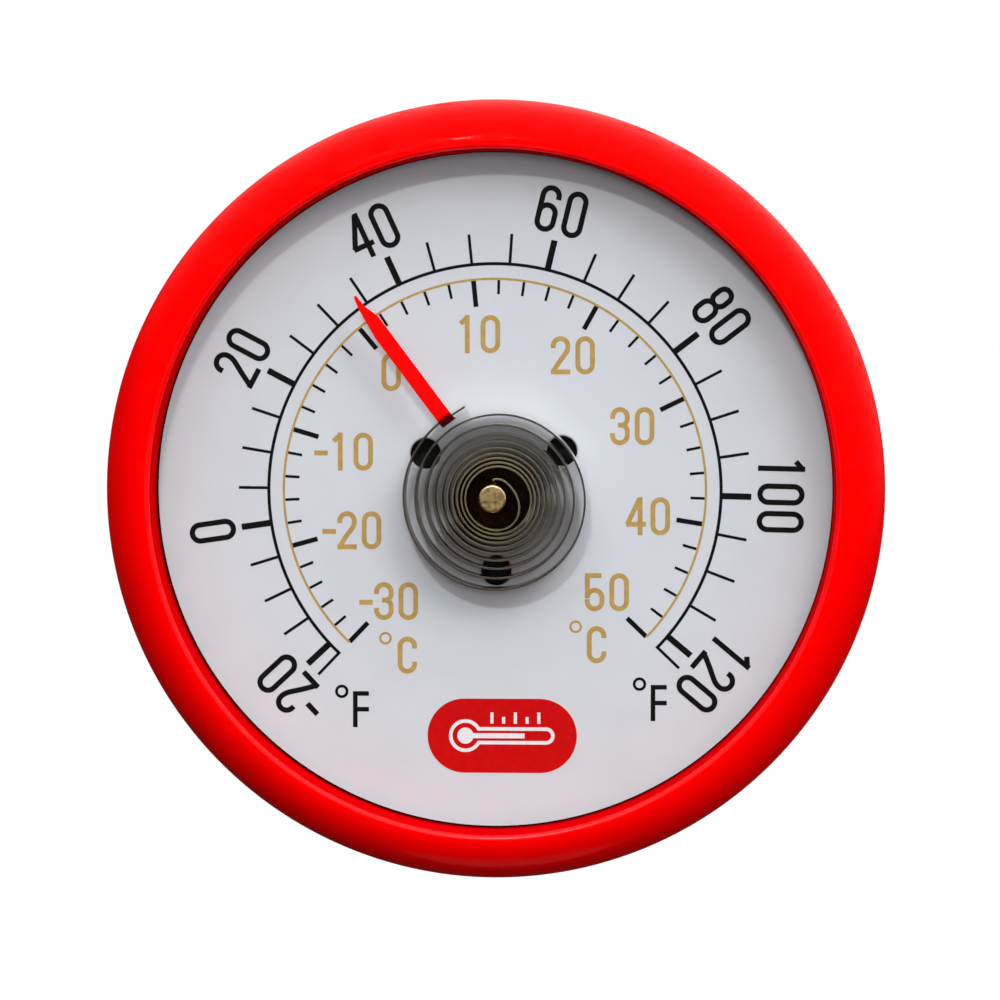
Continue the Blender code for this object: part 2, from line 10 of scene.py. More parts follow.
import bmesh
import bpy
from mathutils import Matrix, Vector, noise
from mathutils.geometry import delaunay_2d_cdt
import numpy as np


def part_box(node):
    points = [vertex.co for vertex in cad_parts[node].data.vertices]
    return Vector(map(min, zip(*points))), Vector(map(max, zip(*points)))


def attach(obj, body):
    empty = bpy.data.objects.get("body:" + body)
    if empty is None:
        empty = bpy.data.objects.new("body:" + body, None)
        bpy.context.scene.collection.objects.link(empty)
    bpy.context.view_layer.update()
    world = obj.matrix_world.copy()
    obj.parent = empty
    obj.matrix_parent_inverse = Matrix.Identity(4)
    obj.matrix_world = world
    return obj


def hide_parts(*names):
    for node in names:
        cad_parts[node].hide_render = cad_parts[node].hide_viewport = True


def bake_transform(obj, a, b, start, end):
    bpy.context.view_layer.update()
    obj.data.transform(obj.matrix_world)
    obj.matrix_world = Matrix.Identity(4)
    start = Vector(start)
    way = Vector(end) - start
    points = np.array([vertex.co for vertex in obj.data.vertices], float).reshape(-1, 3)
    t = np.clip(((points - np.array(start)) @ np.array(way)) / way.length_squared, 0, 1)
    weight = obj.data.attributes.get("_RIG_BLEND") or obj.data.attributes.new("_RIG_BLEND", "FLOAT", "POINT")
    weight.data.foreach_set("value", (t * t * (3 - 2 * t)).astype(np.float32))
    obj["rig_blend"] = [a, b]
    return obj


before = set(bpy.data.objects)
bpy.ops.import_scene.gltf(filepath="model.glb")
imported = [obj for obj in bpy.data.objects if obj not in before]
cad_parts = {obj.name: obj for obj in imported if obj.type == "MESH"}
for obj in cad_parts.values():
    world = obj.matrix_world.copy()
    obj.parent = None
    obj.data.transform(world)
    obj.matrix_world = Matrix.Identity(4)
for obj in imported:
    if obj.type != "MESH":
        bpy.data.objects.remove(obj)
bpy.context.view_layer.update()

MM = 0.001


# ---------------------------------------------------------------- sizes read from the frame

def dial_box(node):
    """A CAD node's lowest and highest corners in the dial's own frame."""
    low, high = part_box(node)
    return (Vector((low.x, low.z - CENTRE.z, -high.y)), Vector((high.x, high.z - CENTRE.z, -low.y)))


ring_low, ring_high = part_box("bezel_ring")
CENTRE = Vector((0.0, 0.0, (ring_low.z + ring_high.z) / 2.0))
UPRIGHT = Matrix.Translation(CENTRE) @ Matrix.Rotation(math.radians(90.0), 4, "X")

RING_R = ring_high.x
RING_BACK_Z, CREST_Z = -ring_high.y, -ring_low.y
DIAL_R = dial_box("dial_plate")[1].x
DIAL_BACK_Z, DIAL_Z = (corner.z for corner in dial_box("dial_plate"))
LENS_R = dial_box("lens")[1].x
LENS_Z, LENS_TOP_Z = (corner.z for corner in dial_box("lens"))
COLLAR_R = dial_box("centre_post")[1].x
POST_BACK_Z, POST_END_Z = (corner.z for corner in dial_box("centre_post"))
MOVEMENT = Vector((0.0, (dial_box("centre_post")[0].y + dial_box("centre_post")[1].y) / 2.0))
COIL_Z = [corner.z for corner in dial_box("bimetal_coil")]
POINTER_TAB_Z, POINTER_TOP_Z = (corner.z for corner in dial_box("pointer"))
GAP = 0.3 * MM

# Ring section, as in the CAD
RING_WALL = 2.3 * MM
CREST_R = 67.4 * MM
SHOULDER_Z = 9.5 * MM
WINDOW_R = 65.9 * MM
LEDGE_R = 66.1 * MM
LENS_GROOVE_R = LENS_R + GAP
LIP_R = 66.4 * MM
LIP_FILLET_Z = 0.8 * MM
RIM_FILLET = 0.6 * MM
CASE_SCREW_ANGLES = (30.0, 150.0, 270.0)
CASE_SCREW_R = 71.0 * MM
BOSS_R, BOSS_LOW_Z, BOSS_HIGH_Z = 2.4 * MM, 7.7 * MM, 17.6 * MM
PILOT_R, PILOT_TOP_Z = 1.6 * MM, 15.5 * MM

# Dial
VENT_R = 2.95 * MM
VENT_FILLET = 0.5 * MM
VENT_CIRCLE_R = 15.4 * MM
VENT_ANGLES = (31.2, 151.2, 271.2)
VENT_CENTRE = (0.0, -0.3 * MM)
DIAL_HOLE_R = 7.4 * MM
DIAL_HOLE_FILLET = 0.3 * MM

# Scales: degrees round the dial as a polynomial in u = (F - SCALE_MIDDLE) / SCALE_HALF
SCALE_MIDDLE, SCALE_HALF = 50.0, 72.0
SCALE_LAW = (95.72, -137.97, -4.49, 2.84)
INK_SINK, INK_RISE = 0.02 * MM, 0.03 * MM

# Post, as in the CAD
SHAFT_R, POST_R = 2.1 * MM, 2.7 * MM
COLLAR_Z = (10.9 * MM, 12.2 * MM)
GROOVE_R, GROOVE_Z = 1.6 * MM, (1.35 * MM, 2.4 * MM)
LUG_HALF_WIDTH = 0.7 * MM

# Coil, the same law as in the CAD
COIL_START_DEG = 90.0
COIL_TURNS = 9.893
COIL_SETTLED = 0.75
COIL_R = 6.18 * MM
COIL_PITCH = 0.772 * MM
COIL_SPREAD = 0.00695 * MM
COIL_OFFSET = Vector((0.87 * MM, -0.15 * MM))
LEAD_R = 4.05 * MM
LEAD_RISE = 0.6 * MM
LEAD_RISE_TURNS = 0.03
LEAD_TURNS = (0.12, 0.48)
STRIP_THICK = 0.4 * MM
STRIP_EDGE = 0.06 * MM
TAIL_HEADING = 33.0
TAIL_LENGTH = 6.3 * MM

# Pointer
POINTER_HEADING = 126.8
POINTER_ON_TAIL = 1.9 * MM
POINTER_THICK = 0.4 * MM
POINTER_TAB_FACE = -1.05 * MM
POINTER_BEND_R = 1.9 * MM
POINTER_EDGE = 0.07 * MM

# Studio: the dome's axis, its strength below and above, and the cosine to the axis where it starts to rise
DOME_AXIS = (0.24, -0.1, 0.96)
DOME_LIGHT = (0.03, 2.3)
DOME_EDGE = -0.04
DOME_COLOUR = (0.96, 0.98, 1.0, 1.0)
FLOOR_R, FLOOR_DEPTH, FLOOR_THICK = 0.5, 1.7, 0.01


# ---------------------------------------------------------------- mesh helpers

def polar(radius, degrees, centre=(0.0, 0.0)):
    angle = math.radians(degrees)
    return Vector((centre[0] + radius * math.cos(angle), centre[1] + radius * math.sin(angle)))


def arc(radius, start, end, steps, centre=(0.0, 0.0), stretch=1.0):
    """Points of an arc; stretch scales its height."""
    points = []
    for k in range(steps + 1):
        angle = math.radians(start + (end - start) * k / steps)
        points.append((centre[0] + radius * math.cos(angle), centre[1] + radius * stretch * math.sin(angle)))
    return points


def add_turned(bm, profile, segments, centre=(0.0, 0.0)):
    """Turn a closed (radius, z) outline about the dial's normal; radius 0 closes at a pole."""
    rings = []
    for radius, z in profile:
        if radius == 0.0:
            rings.append([bm.verts.new((*centre, z))])
        else:
            places = [polar(radius, 360.0 * k / segments, centre) for k in range(segments)]
            rings.append([bm.verts.new((*place, z)) for place in places])
    for near, far in zip(rings, rings[1:] + rings[:1]):
        if len(near) == 1 and len(far) == 1:
            continue
        for k in range(segments):
            after = (k + 1) % segments
            corners = [near[k % len(near)], near[after % len(near)]]
            corners += [far[after % len(far)], far[k % len(far)]]
            bm.faces.new(list(dict.fromkeys(corners)))


def add_tube(bm, sections, closed=False):
    """Skin a row of closed sections with the same number of points; flat ends unless closed."""
    rows = [[bm.verts.new(point) for point in section] for section in sections]
    pairs = list(zip(rows, rows[1:])) + ([(rows[-1], rows[0])] if closed else [])
    for near, far in pairs:
        for k in range(len(near)):
            after = (k + 1) % len(near)
            bm.faces.new((near[k], near[after], far[after], far[k]))
    if not closed:
        bm.faces.new(rows[0][::-1])
        bm.faces.new(rows[-1])


def union_of(outlines):
    """Points and triangles that cover flat outlines, which may overlap; worked out in millimetres."""
    points, loops = [], []
    for outline in outlines:
        loops.append(list(range(len(points), len(points) + len(outline))))
        points += [Vector((x / MM, y / MM)) for x, y in outline]
    found, _, triangles, _, _, owners = delaunay_2d_cdt(points, [], loops, 1, 1e-5)
    covered = [triangle for triangle, owner in zip(triangles, owners) if owner]
    return [point * MM for point in found], covered


def add_print(bm, outlines, low_z, high_z):
    """Raise the union of flat outlines between two heights, as one closed skin."""
    points, triangles = union_of(outlines)
    used = sorted({corner for triangle in triangles for corner in triangle})
    low = {k: bm.verts.new((*points[k], low_z)) for k in used}
    high = {k: bm.verts.new((*points[k], high_z)) for k in used}
    edges = {}
    for triangle in triangles:
        bm.faces.new([high[k] for k in triangle])
        bm.faces.new([low[k] for k in reversed(triangle)])
        for near, far in zip(triangle, triangle[1:] + triangle[:1]):
            edges[(near, far)] = (far, near)
    for (near, far), twin in edges.items():
        if twin not in edges:
            bm.faces.new((low[near], low[far], high[far], high[near]))


def finish_mesh(name, bm, mat, sharp=35.0):
    bmesh.ops.recalc_face_normals(bm, faces=bm.faces)
    bmesh.ops.transform(bm, matrix=UPRIGHT, verts=bm.verts)
    mesh = bpy.data.meshes.new(name)
    bm.to_mesh(mesh)
    bm.free()
    mesh.shade_smooth()
    mesh.set_sharp_from_angle(angle=math.radians(sharp))
    mesh.materials.append(mat)
    obj = bpy.data.objects.new(name, mesh)
    bpy.context.scene.collection.objects.link(obj)
    return obj


def piece(name, bm, mat, body="case", stands_for=(), sharp=35.0):
    """Make a bmesh a piece of the object that rides on a body."""
    obj = finish_mesh(name, bm, mat, sharp)
    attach(obj, body)
    if stands_for:
        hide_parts(*stands_for)
    return obj


def weigh_normals(obj):
    """Let large flat faces keep flat shading beside small rounded ones."""
    modifier = obj.modifiers.new("weighted_normals", "WEIGHTED_NORMAL")
    modifier.keep_sharp = True


# ---------------------------------------------------------------- material helpers

def new_material(name, colour, roughness, **values):
    """A Principled material with a name, a plain colour and roughness, and any other socket by name."""
    mat = bpy.data.materials.new(name)
    mat.use_nodes = True
    shader = mat.node_tree.nodes["Principled BSDF"]
    shader.inputs["Base Color"].default_value = (*colour, 1.0)
    shader.inputs["Roughness"].default_value = roughness
    for socket, value in values.items():
        shader.inputs[socket.replace("_", " ")].default_value = value
    return mat


def shader_of(mat):
    return mat.node_tree.nodes["Principled BSDF"]


def pattern(mat, size, detail=3.0, stretch=(1.0, 1.0, 1.0), offset=(0.0, 0.0, 0.0)):
    """A noise pattern with features of a size in metres, fixed to the piece."""
    nodes, links = mat.node_tree.nodes, mat.node_tree.links
    place = nodes.new("ShaderNodeTexCoord")
    mapping = nodes.new("ShaderNodeMapping")
    mapping.inputs["Scale"].default_value = [1.0 / s for s in stretch]
    mapping.inputs["Location"].default_value = offset
    cloud = nodes.new("ShaderNodeTexNoise")
    cloud.inputs["Scale"].default_value = 1.0 / size
    cloud.inputs["Detail"].default_value = detail
    links.new(place.outputs["Object"], mapping.inputs["Vector"])
    links.new(mapping.outputs["Vector"], cloud.inputs["Vector"])
    return cloud.outputs["Fac"]


def spread(mat, source, low, high, start=0.3, end=0.7):
    """Map a pattern from its middle range to values between low and high."""
    node = mat.node_tree.nodes.new("ShaderNodeMapRange")
    node.inputs["From Min"].default_value = start
    node.inputs["From Max"].default_value = end
    node.inputs["To Min"].default_value = low
    node.inputs["To Max"].default_value = high
    mat.node_tree.links.new(source, node.inputs["Value"])
    return node.outputs["Result"]


def tint(mat, source, dark, light, start=0.3, end=0.7):
    """Map a pattern to a colour between two colours."""
    ramp = mat.node_tree.nodes.new("ShaderNodeValToRGB")
    ramp.color_ramp.elements[0].position = start
    ramp.color_ramp.elements[0].color = (*dark, 1.0)
    ramp.color_ramp.elements[1].position = end
    ramp.color_ramp.elements[1].color = (*light, 1.0)
    mat.node_tree.links.new(source, ramp.inputs["Fac"])
    return ramp.outputs["Color"]


def distance_from(mat, axis_point, low, high, start, end):
    """Map the distance from an axis along Y to values between low and high."""
    nodes, links = mat.node_tree.nodes, mat.node_tree.links
    place, shift = nodes.new("ShaderNodeTexCoord"), nodes.new("ShaderNodeVectorMath")
    length = nodes.new("ShaderNodeVectorMath")
    shift.operation = "MULTIPLY_ADD"
    shift.inputs[1].default_value = (1.0, 0.0, 1.0)
    shift.inputs[2].default_value = (-axis_point.x, 0.0, -axis_point.z)
    length.operation = "LENGTH"
    links.new(place.outputs["Object"], shift.inputs[0])
    links.new(shift.outputs["Vector"], length.inputs[0])
    return spread(mat, length.outputs["Value"], low, high, start, end)


def drive(mat, socket, source):
    mat.node_tree.links.new(source, shader_of(mat).inputs[socket])


def roughen(mat, source, depth, strength=1.0):
    """Bump the surface by a pattern, depth metres from its low to its high."""
    nodes, links = mat.node_tree.nodes, mat.node_tree.links
    bump = nodes.new("ShaderNodeBump")
    bump.inputs["Distance"].default_value = depth
    bump.inputs["Strength"].default_value = strength
    links.new(source, bump.inputs["Height"])
    earlier = shader_of(mat).inputs["Normal"].links
    if earlier:
        links.new(earlier[0].from_socket, bump.inputs["Normal"])
    links.new(bump.outputs["Normal"], shader_of(mat).inputs["Normal"])


# ---------------------------------------------------------------- materials

def red_gloss():
    """Moulded plastic with slow flow waves and orange peel, polished in patches."""
    mat = new_material("red_gloss_plastic", (0.98, 0.0, 0.0), 0.15, IOR=1.46, Specular_IOR_Level=0.025)
    flow = pattern(mat, 18.0 * MM, 2.0)
    peel = pattern(mat, 1.1 * MM, 1.0)
    patches = pattern(mat, 5.0 * MM, 4.0, stretch=(1.6, 1.0, 0.6))
    drive(mat, "Base Color", tint(mat, flow, (0.97, 0.0, 0.0), (1.0, 0.0, 0.0)))
    drive(mat, "Roughness", spread(mat, patches, 0.45, 0.12, 0.38, 0.5))
    roughen(mat, flow, 0.06 * MM, 0.5)
    roughen(mat, peel, 0.006 * MM, 0.5)
    return mat


def red_lip():
    """The small rounded lip inside the crest, polished by the mould."""
    mat = new_material("red_lip", (0.98, 0.0, 0.002), 0.2, IOR=1.46, Specular_IOR_Level=0.25)
    flow = pattern(mat, 9.0 * MM, 2.0)
    drive(mat, "Base Color", tint(mat, flow, (0.92, 0.0, 0.001), (1.0, 0.002, 0.004)))
    drive(mat, "Roughness", spread(mat, flow, 0.2, 0.32))
    roughen(mat, pattern(mat, 1.1 * MM), 0.006 * MM, 0.5)
    return mat


def red_wall():
    """The ring's inner wall: red under the window, darkening to near black towards the dial, a painted shade
    at the foot of the recess.
    """
    mat = new_material("red_inner_wall", (0.5, 0.0, 0.0), 0.8, IOR=1.46, Specular_IOR_Level=0.0)
    nodes, links = mat.node_tree.nodes, mat.node_tree.links
    place, split = nodes.new("ShaderNodeTexCoord"), nodes.new("ShaderNodeSeparateXYZ")
    links.new(place.outputs["Object"], split.inputs["Vector"])
    # painted shade: the red falls to near black over the lowest few millimetres of the wall, next to the
    # dial
    depth = spread(mat, split.outputs["Y"], 1.0, 0.0, -16.5 * MM, -11.5 * MM)
    drive(mat, "Base Color", tint(mat, depth, (0.02, 0.0, 0.0), (0.7, 0.0, 0.002), 0.3, 1.0))
    grain = pattern(mat, 0.6 * MM, 3.0)
    drive(mat, "Roughness", spread(mat, grain, 0.72, 0.9))
    roughen(mat, grain, 0.006 * MM, 0.5)
    return mat


def dial_white():
    """Satin white plastic with the faintest mottle."""
    mat = new_material("dial_white", (0.64, 0.665, 0.70), 0.5, IOR=1.45, Specular_IOR_Level=0.3)
    cloud = pattern(mat, 9.0 * MM, 4.0)
    grain = pattern(mat, 0.25 * MM, 2.0)
    drive(mat, "Base Color", tint(mat, cloud, (0.625, 0.65, 0.685), (0.65, 0.675, 0.71)))
    drive(mat, "Roughness", spread(mat, cloud, 0.46, 0.56))
    roughen(mat, grain, 0.01 * MM, 0.4)
    return mat


def ink(name, dark, light):
    """Screen-printed ink: a little uneven in depth of colour and in gloss."""
    mat = new_material(name, light, 0.45, IOR=1.45, Specular_IOR_Level=0.1)
    cloud = pattern(mat, 1.4 * MM, 4.0)
    drive(mat, "Base Color", tint(mat, cloud, dark, light))
    drive(mat, "Roughness", spread(mat, cloud, 0.4, 0.6))
    roughen(mat, pattern(mat, 0.2 * MM), 0.008 * MM, 0.5)
    return mat


def bimetal(name, inner, middle, outer, roughness):
    """Rolled bimetal strip with rolling lines along it; its colour ramps with the distance from the post. On
    the sides the ramp darkens towards the post, a painted shade for the deep narrow gaps between the inner
    turns; on the top edges it runs from golden near the post to grey further out.
    """
    mat = new_material(name, middle, roughness, Metallic=1.0)
    # painted shade on the sides: the ramp runs from its first colour within 5.5 mm of the post to its last
    # beyond 17.5 mm
    far = distance_from(mat, UPRIGHT @ MOVEMENT.to_3d(), 0.0, 1.0, 5.5 * MM, 17.5 * MM)
    stain = pattern(mat, 4.0 * MM, 3.0)
    lines = pattern(mat, 1.2 * MM, 4.0, stretch=(6.0, 0.15, 6.0))
    ramp = mat.node_tree.nodes.new("ShaderNodeValToRGB")
    ramp.color_ramp.elements[0].color = (*inner, 1.0)
    ramp.color_ramp.elements[1].color = (*outer, 1.0)
    ramp.color_ramp.elements.new(0.5).color = (*middle, 1.0)
    blotch = mat.node_tree.nodes.new("ShaderNodeMix")
    blotch.data_type = "RGBA"
    blotch.blend_type = "MULTIPLY"
    blotch.inputs["Factor"].default_value = 1.0
    mat.node_tree.links.new(far, ramp.inputs["Fac"])
    mat.node_tree.links.new(ramp.outputs["Color"], blotch.inputs["A"])
    mat.node_tree.links.new(tint(mat, stain, (0.88, 0.88, 0.88), (1.0, 1.0, 1.0)), blotch.inputs["B"])
    drive(mat, "Base Color", blotch.outputs["Result"])
    drive(mat, "Roughness", spread(mat, lines, roughness * 0.8, roughness * 1.2))
    roughen(mat, lines, 0.008 * MM, 0.4)
    return mat


def brass(name, dark, light, pit=0.03 * MM):
    """Brass with pits and stains."""
    mat = new_material(name, light, 0.3, Metallic=1.0)
    stain = pattern(mat, 1.6 * MM, 4.0)
    drive(mat, "Base Color", tint(mat, stain, dark, light))
    drive(mat, "Roughness", spread(mat, pattern(mat, 0.8 * MM), 0.22, 0.42))
    roughen(mat, pattern(mat, 0.5 * MM, 3.0), pit, 0.6)
    return mat


def red_paint():
    """Bright red paint on the pointer, going near black towards the fold: a painted shade for the fold and
    the shadow beside it.
    """
    mat = new_material("pointer_red_paint", (0.95, 0.0015, 0.0015), 0.45, IOR=1.45, Specular_IOR_Level=0.05)
    cloud = pattern(mat, 2.0 * MM, 3.0)
    nodes, links = mat.node_tree.nodes, mat.node_tree.links
    place, along = nodes.new("ShaderNodeTexCoord"), nodes.new("ShaderNodeVectorMath")
    outwards = UPRIGHT.to_3x3() @ heading(POINTER_HEADING).to_3d()
    fold = (UPRIGHT @ pointer_foot().to_3d()).dot(outwards)
    along.operation = "DOT_PRODUCT"
    along.inputs[1].default_value = outwards
    links.new(place.outputs["Object"], along.inputs[0])
    # painted shade: near black over the fold and the tab, blending to red between 0.25 and 0.9 mm past the
    # fold line
    clear_of_fold_shade = spread(mat, along.outputs["Value"], 0.0, 1.0, fold + 0.25 * MM, fold + 0.9 * MM)
    coat = nodes.new("ShaderNodeMix")
    coat.data_type = "RGBA"
    links.new(clear_of_fold_shade, coat.inputs["Factor"])
    links.new(tint(mat, cloud, (0.05, 0.002, 0.002), (0.12, 0.004, 0.004)), coat.inputs["A"])
    links.new(tint(mat, cloud, (0.93, 0.0, 0.0), (1.0, 0.001, 0.001)), coat.inputs["B"])
    drive(mat, "Base Color", coat.outputs["Result"])
    drive(mat, "Roughness", spread(mat, cloud, 0.4, 0.55))
    roughen(mat, pattern(mat, 0.4 * MM), 0.01 * MM, 0.5)
    return mat


def clear_plastic():
    """Thin clear window: nearly all of the light goes straight through."""
    mat = new_material("clear_window", (0.02, 0.02, 0.02), 0.04, Specular_IOR_Level=0.2)
    shader_of(mat).inputs["Alpha"].default_value = 0.012
    shader_of(mat).inputs["IOR"].default_value = 1.35
    haze = pattern(mat, 30.0 * MM, 2.0)
    drive(mat, "Roughness", spread(mat, haze, 0.03, 0.07))
    roughen(mat, haze, 0.02 * MM, 0.3)
    return mat


def black_moulded():
    """Black plastic with a fine spark-eroded grain."""
    black, grey = (0.007, 0.007, 0.007), (0.012, 0.012, 0.012)
    mat = new_material("black_moulded_plastic", black, 0.5, IOR=1.46, Specular_IOR_Level=0.25)
    grain = pattern(mat, 0.35 * MM, 3.0)
    drive(mat, "Base Color", tint(mat, pattern(mat, 12.0 * MM), black, grey))
    drive(mat, "Roughness", spread(mat, grain, 0.42, 0.6))
    roughen(mat, grain, 0.03 * MM, 0.6)
    return mat


def zinc():
    """Zinc-plated steel with a soft mottle and fine scratches."""
    mat = new_material("zinc_plated_steel", (0.62, 0.63, 0.64), 0.35, Metallic=1.0)
    mottle = pattern(mat, 2.5 * MM, 3.0)
    drive(mat, "Base Color", tint(mat, mottle, (0.50, 0.51, 0.53), (0.70, 0.70, 0.69)))
    drive(mat, "Roughness", spread(mat, mottle, 0.26, 0.44))
    roughen(mat, pattern(mat, 0.5 * MM, 4.0, stretch=(8.0, 1.0, 0.3)), 0.01 * MM, 0.5)
    return mat


def rubber():
    mat = new_material("black_rubber", (0.02, 0.02, 0.02), 0.8, IOR=1.5)
    dust = pattern(mat, 1.5 * MM, 5.0)
    drive(mat, "Base Color", tint(mat, dust, (0.016, 0.016, 0.016), (0.034, 0.033, 0.032)))
    drive(mat, "Roughness", spread(mat, dust, 0.7, 0.9))
    roughen(mat, pattern(mat, 0.3 * MM), 0.03 * MM, 0.5)
    return mat


# ---------------------------------------------------------------- ring

def ring_profile():
    """Section of the ring as (radius, z), from the dial up the inner wall and over the rounded face."""
    inner_wall = [
        (WINDOW_R, DIAL_Z + GAP),
        (LEDGE_R, LENS_Z - GAP),
        (LENS_GROOVE_R, LENS_Z - GAP),
        (LENS_GROOVE_R, LENS_TOP_Z + GAP / 3.0),
    ]
    lip_r = CREST_R - LIP_R
    lip = arc(lip_r, 180.0, 90.0, 10, (CREST_R, CREST_Z - LIP_FILLET_Z), LIP_FILLET_Z / lip_r)
    face_r = RING_R - CREST_R
    stretch = (CREST_Z - SHOULDER_Z) / face_r
    face = arc(face_r, 90.0, 0.0, 36, (CREST_R, SHOULDER_Z), stretch)
    rim = arc(RIM_FILLET, 0.0, -90.0, 5, (RING_R - RIM_FILLET, RING_BACK_Z + RIM_FILLET))
    skin_r = face_r - RING_WALL
    skin_stretch = (CREST_Z - SHOULDER_Z - RING_WALL) / skin_r
    skin = arc(skin_r, 0.0, 60.0, 20, (CREST_R, SHOULDER_Z), skin_stretch)
    back = [(RING_R - RING_WALL, RING_BACK_Z)]
    return inner_wall + lip + face[1:] + rim + back + skin + [(DIAL_R, DIAL_Z + GAP)]


def boss_cutter(name, radius, low_z, high_z):
    bm = bmesh.new()
    for angle in CASE_SCREW_ANGLES:
        centre = polar(CASE_SCREW_R, angle)
        add_turned(bm, [(0.0, low_z), (radius, low_z), (radius, high_z), (0.0, high_z)], 32, centre)
    return finish_mesh(name, bm, bpy.data.materials["red_gloss_plastic"])


def combine(obj, tool, operation):
    """Join a tool mesh to an object, or cut it out, and throw the tool away."""
    boolean = obj.modifiers.new(operation.lower(), "BOOLEAN")
    boolean.operation = operation
    boolean.solver = "EXACT"
    boolean.object = tool
    bpy.context.view_layer.update()
    with_tool = obj.evaluated_get(bpy.context.evaluated_depsgraph_get())
    mesh = bpy.data.meshes.new_from_object(with_tool)
    obj.modifiers.clear()
    obj.data = mesh
    bpy.data.objects.remove(tool)


def build_ring(mat, wall_mat, lip_mat):
    bm = bmesh.new()
    add_turned(bm, ring_profile(), 288)
    ring = piece("moulded_ring", bm, mat, "case", ["bezel_ring"], 40.0)
    combine(ring, boss_cutter("bosses", BOSS_R, BOSS_LOW_Z, BOSS_HIGH_Z), "UNION")
    combine(ring, boss_cutter("pilots", PILOT_R, BOSS_LOW_Z - MM, PILOT_TOP_Z), "DIFFERENCE")
    ring.data.materials.append(wall_mat)
    ring.data.materials.append(lip_mat)
    for face in ring.data.polygons:
        spot = UPRIGHT.inverted() @ face.center
        if spot.xy.length < LENS_GROOVE_R and spot.z < LENS_TOP_Z + GAP / 2.0:
            face.material_index = 1
        elif spot.xy.length < CREST_R:
            face.material_index = 2


# ---------------------------------------------------------------- dial

def dial_holes():
    """(centre, radius, fillet) of each vent and of the hole round the movement."""
    holes = [(polar(VENT_CIRCLE_R, angle, VENT_CENTRE), VENT_R, VENT_FILLET) for angle in VENT_ANGLES]
    return holes + [(MOVEMENT, DIAL_HOLE_R, DIAL_HOLE_FILLET)]


def build_dial(mat):
    """A flat plate with rounded hole edges; its faces are covered by triangles between the edges."""
    rim_segments, hole_segments, edge = 288, 72, 0.3 * MM
    bm = bmesh.new()
    holes = dial_holes()
    rims = [[polar(DIAL_R - edge, 360.0 * k / rim_segments) for k in range(rim_segments)]]
    for centre, radius, fillet in holes:
        turns = [360.0 * k / hole_segments for k in range(hole_segments)]
        rims.append([polar(radius + fillet, turn, centre) for turn in turns])
    points, triangles = union_of(rims)
    level = {DIAL_Z: {}, DIAL_BACK_Z: {}}
    for z, made in level.items():
        for k, point in enumerate(points):
            made[k] = bm.verts.new((*point, z))
    for triangle in triangles:
        middle = sum((points[k] for k in triangle), Vector((0.0, 0.0))) / 3.0
        if any((middle - centre).length < radius + fillet for centre, radius, fillet in holes):
            continue
        bm.faces.new([level[DIAL_Z][k] for k in triangle])
        bm.faces.new([level[DIAL_BACK_Z][k] for k in reversed(triangle)])
    outline = [(DIAL_R - edge, DIAL_Z), (DIAL_R, DIAL_Z - edge), (DIAL_R, DIAL_BACK_Z + edge)]
    add_wall(bm, outline + [(DIAL_R - edge, DIAL_BACK_Z)], rim_segments)
    for centre, radius, fillet in holes:
        top = arc(fillet, 90.0, 180.0, 8, (radius + fillet, DIAL_Z - fillet))
        add_wall(bm, top + [(radius, DIAL_BACK_Z + fillet / 2.0), (radius + fillet, DIAL_BACK_Z)],
                 hole_segments, centre)
    bmesh.ops.remove_doubles(bm, verts=bm.verts, dist=0.001 * MM)
    dial = piece("printed_dial", bm, mat, "case", ["dial_plate"], 60.0)
    weigh_normals(dial)


def add_wall(bm, profile, segments, centre=(0.0, 0.0)):
    """Turn an open (radius, z) line about the dial's normal."""
    rings = []
    for radius, z in profile:
        places = [polar(radius, 360.0 * k / segments, centre) for k in range(segments)]
        rings.append([bm.verts.new((*place, z)) for place in places])
    for near, far in zip(rings, rings[1:]):
        for k in range(segments):
            after = (k + 1) % segments
            bm.faces.new((near[k], near[after], far[after], far[k]))


# ---------------------------------------------------------------- printing

def scale_angle(fahrenheit):
    u = (fahrenheit - SCALE_MIDDLE) / SCALE_HALF
    return sum(factor * u ** power for power, factor in enumerate(SCALE_LAW))


def from_celsius(celsius):
    return celsius * 1.8 + 32.0


def ribbon(points, width, closed=False):
    """Quadrilaterals that cover a line of a width, mitred where it bends."""
    points = [Vector(point) for point in points]
    count = len(points)
    sides = []
    for k in range(count):
        before = points[(k - 1) % count] if closed or k else points[0]
        after = points[(k + 1) % count] if closed or k < count - 1 else points[-1]
        back = (points[k] - before).normalized() if points[k] != before else (after - points[k]).normalized()
        ahead = (after - points[k]).normalized() if after != points[k] else back
        along = (back + ahead).normalized()
        across = Vector((-along.y, along.x))
        reach = width / 2.0 / max(across.dot(Vector((-ahead.y, ahead.x))), 0.5)
        sides.append((points[k] + across * reach, points[k] - across * reach))
    quads = []
    for k in range(count if closed else count - 1):
        left, right = sides[k]
        left_after, right_after = sides[(k + 1) % count]
        quads.append([right, right_after, left_after, left])
    return quads


def ring_band(radius, width, start, end):
    steps = math.ceil(abs(end - start) / 1.5)
    return ribbon(arc(radius, start, end, steps), width)


def tick(angle, inner, outer, width):
    return ribbon([polar(inner, angle), polar(outer, angle)], width)


def bezier(start, first, second, end, steps=12):
    points = []
    for k in range(steps + 1):
        t = k / steps
        weights = ((1 - t) ** 3, 3 * t * (1 - t) ** 2, 3 * t * t * (1 - t), t ** 3)
        mixed = Vector((0.0, 0.0))
        for point, weight in zip((start, first, second, end), weights):
            mixed += Vector(point) * weight
        points.append(tuple(mixed))
    return points


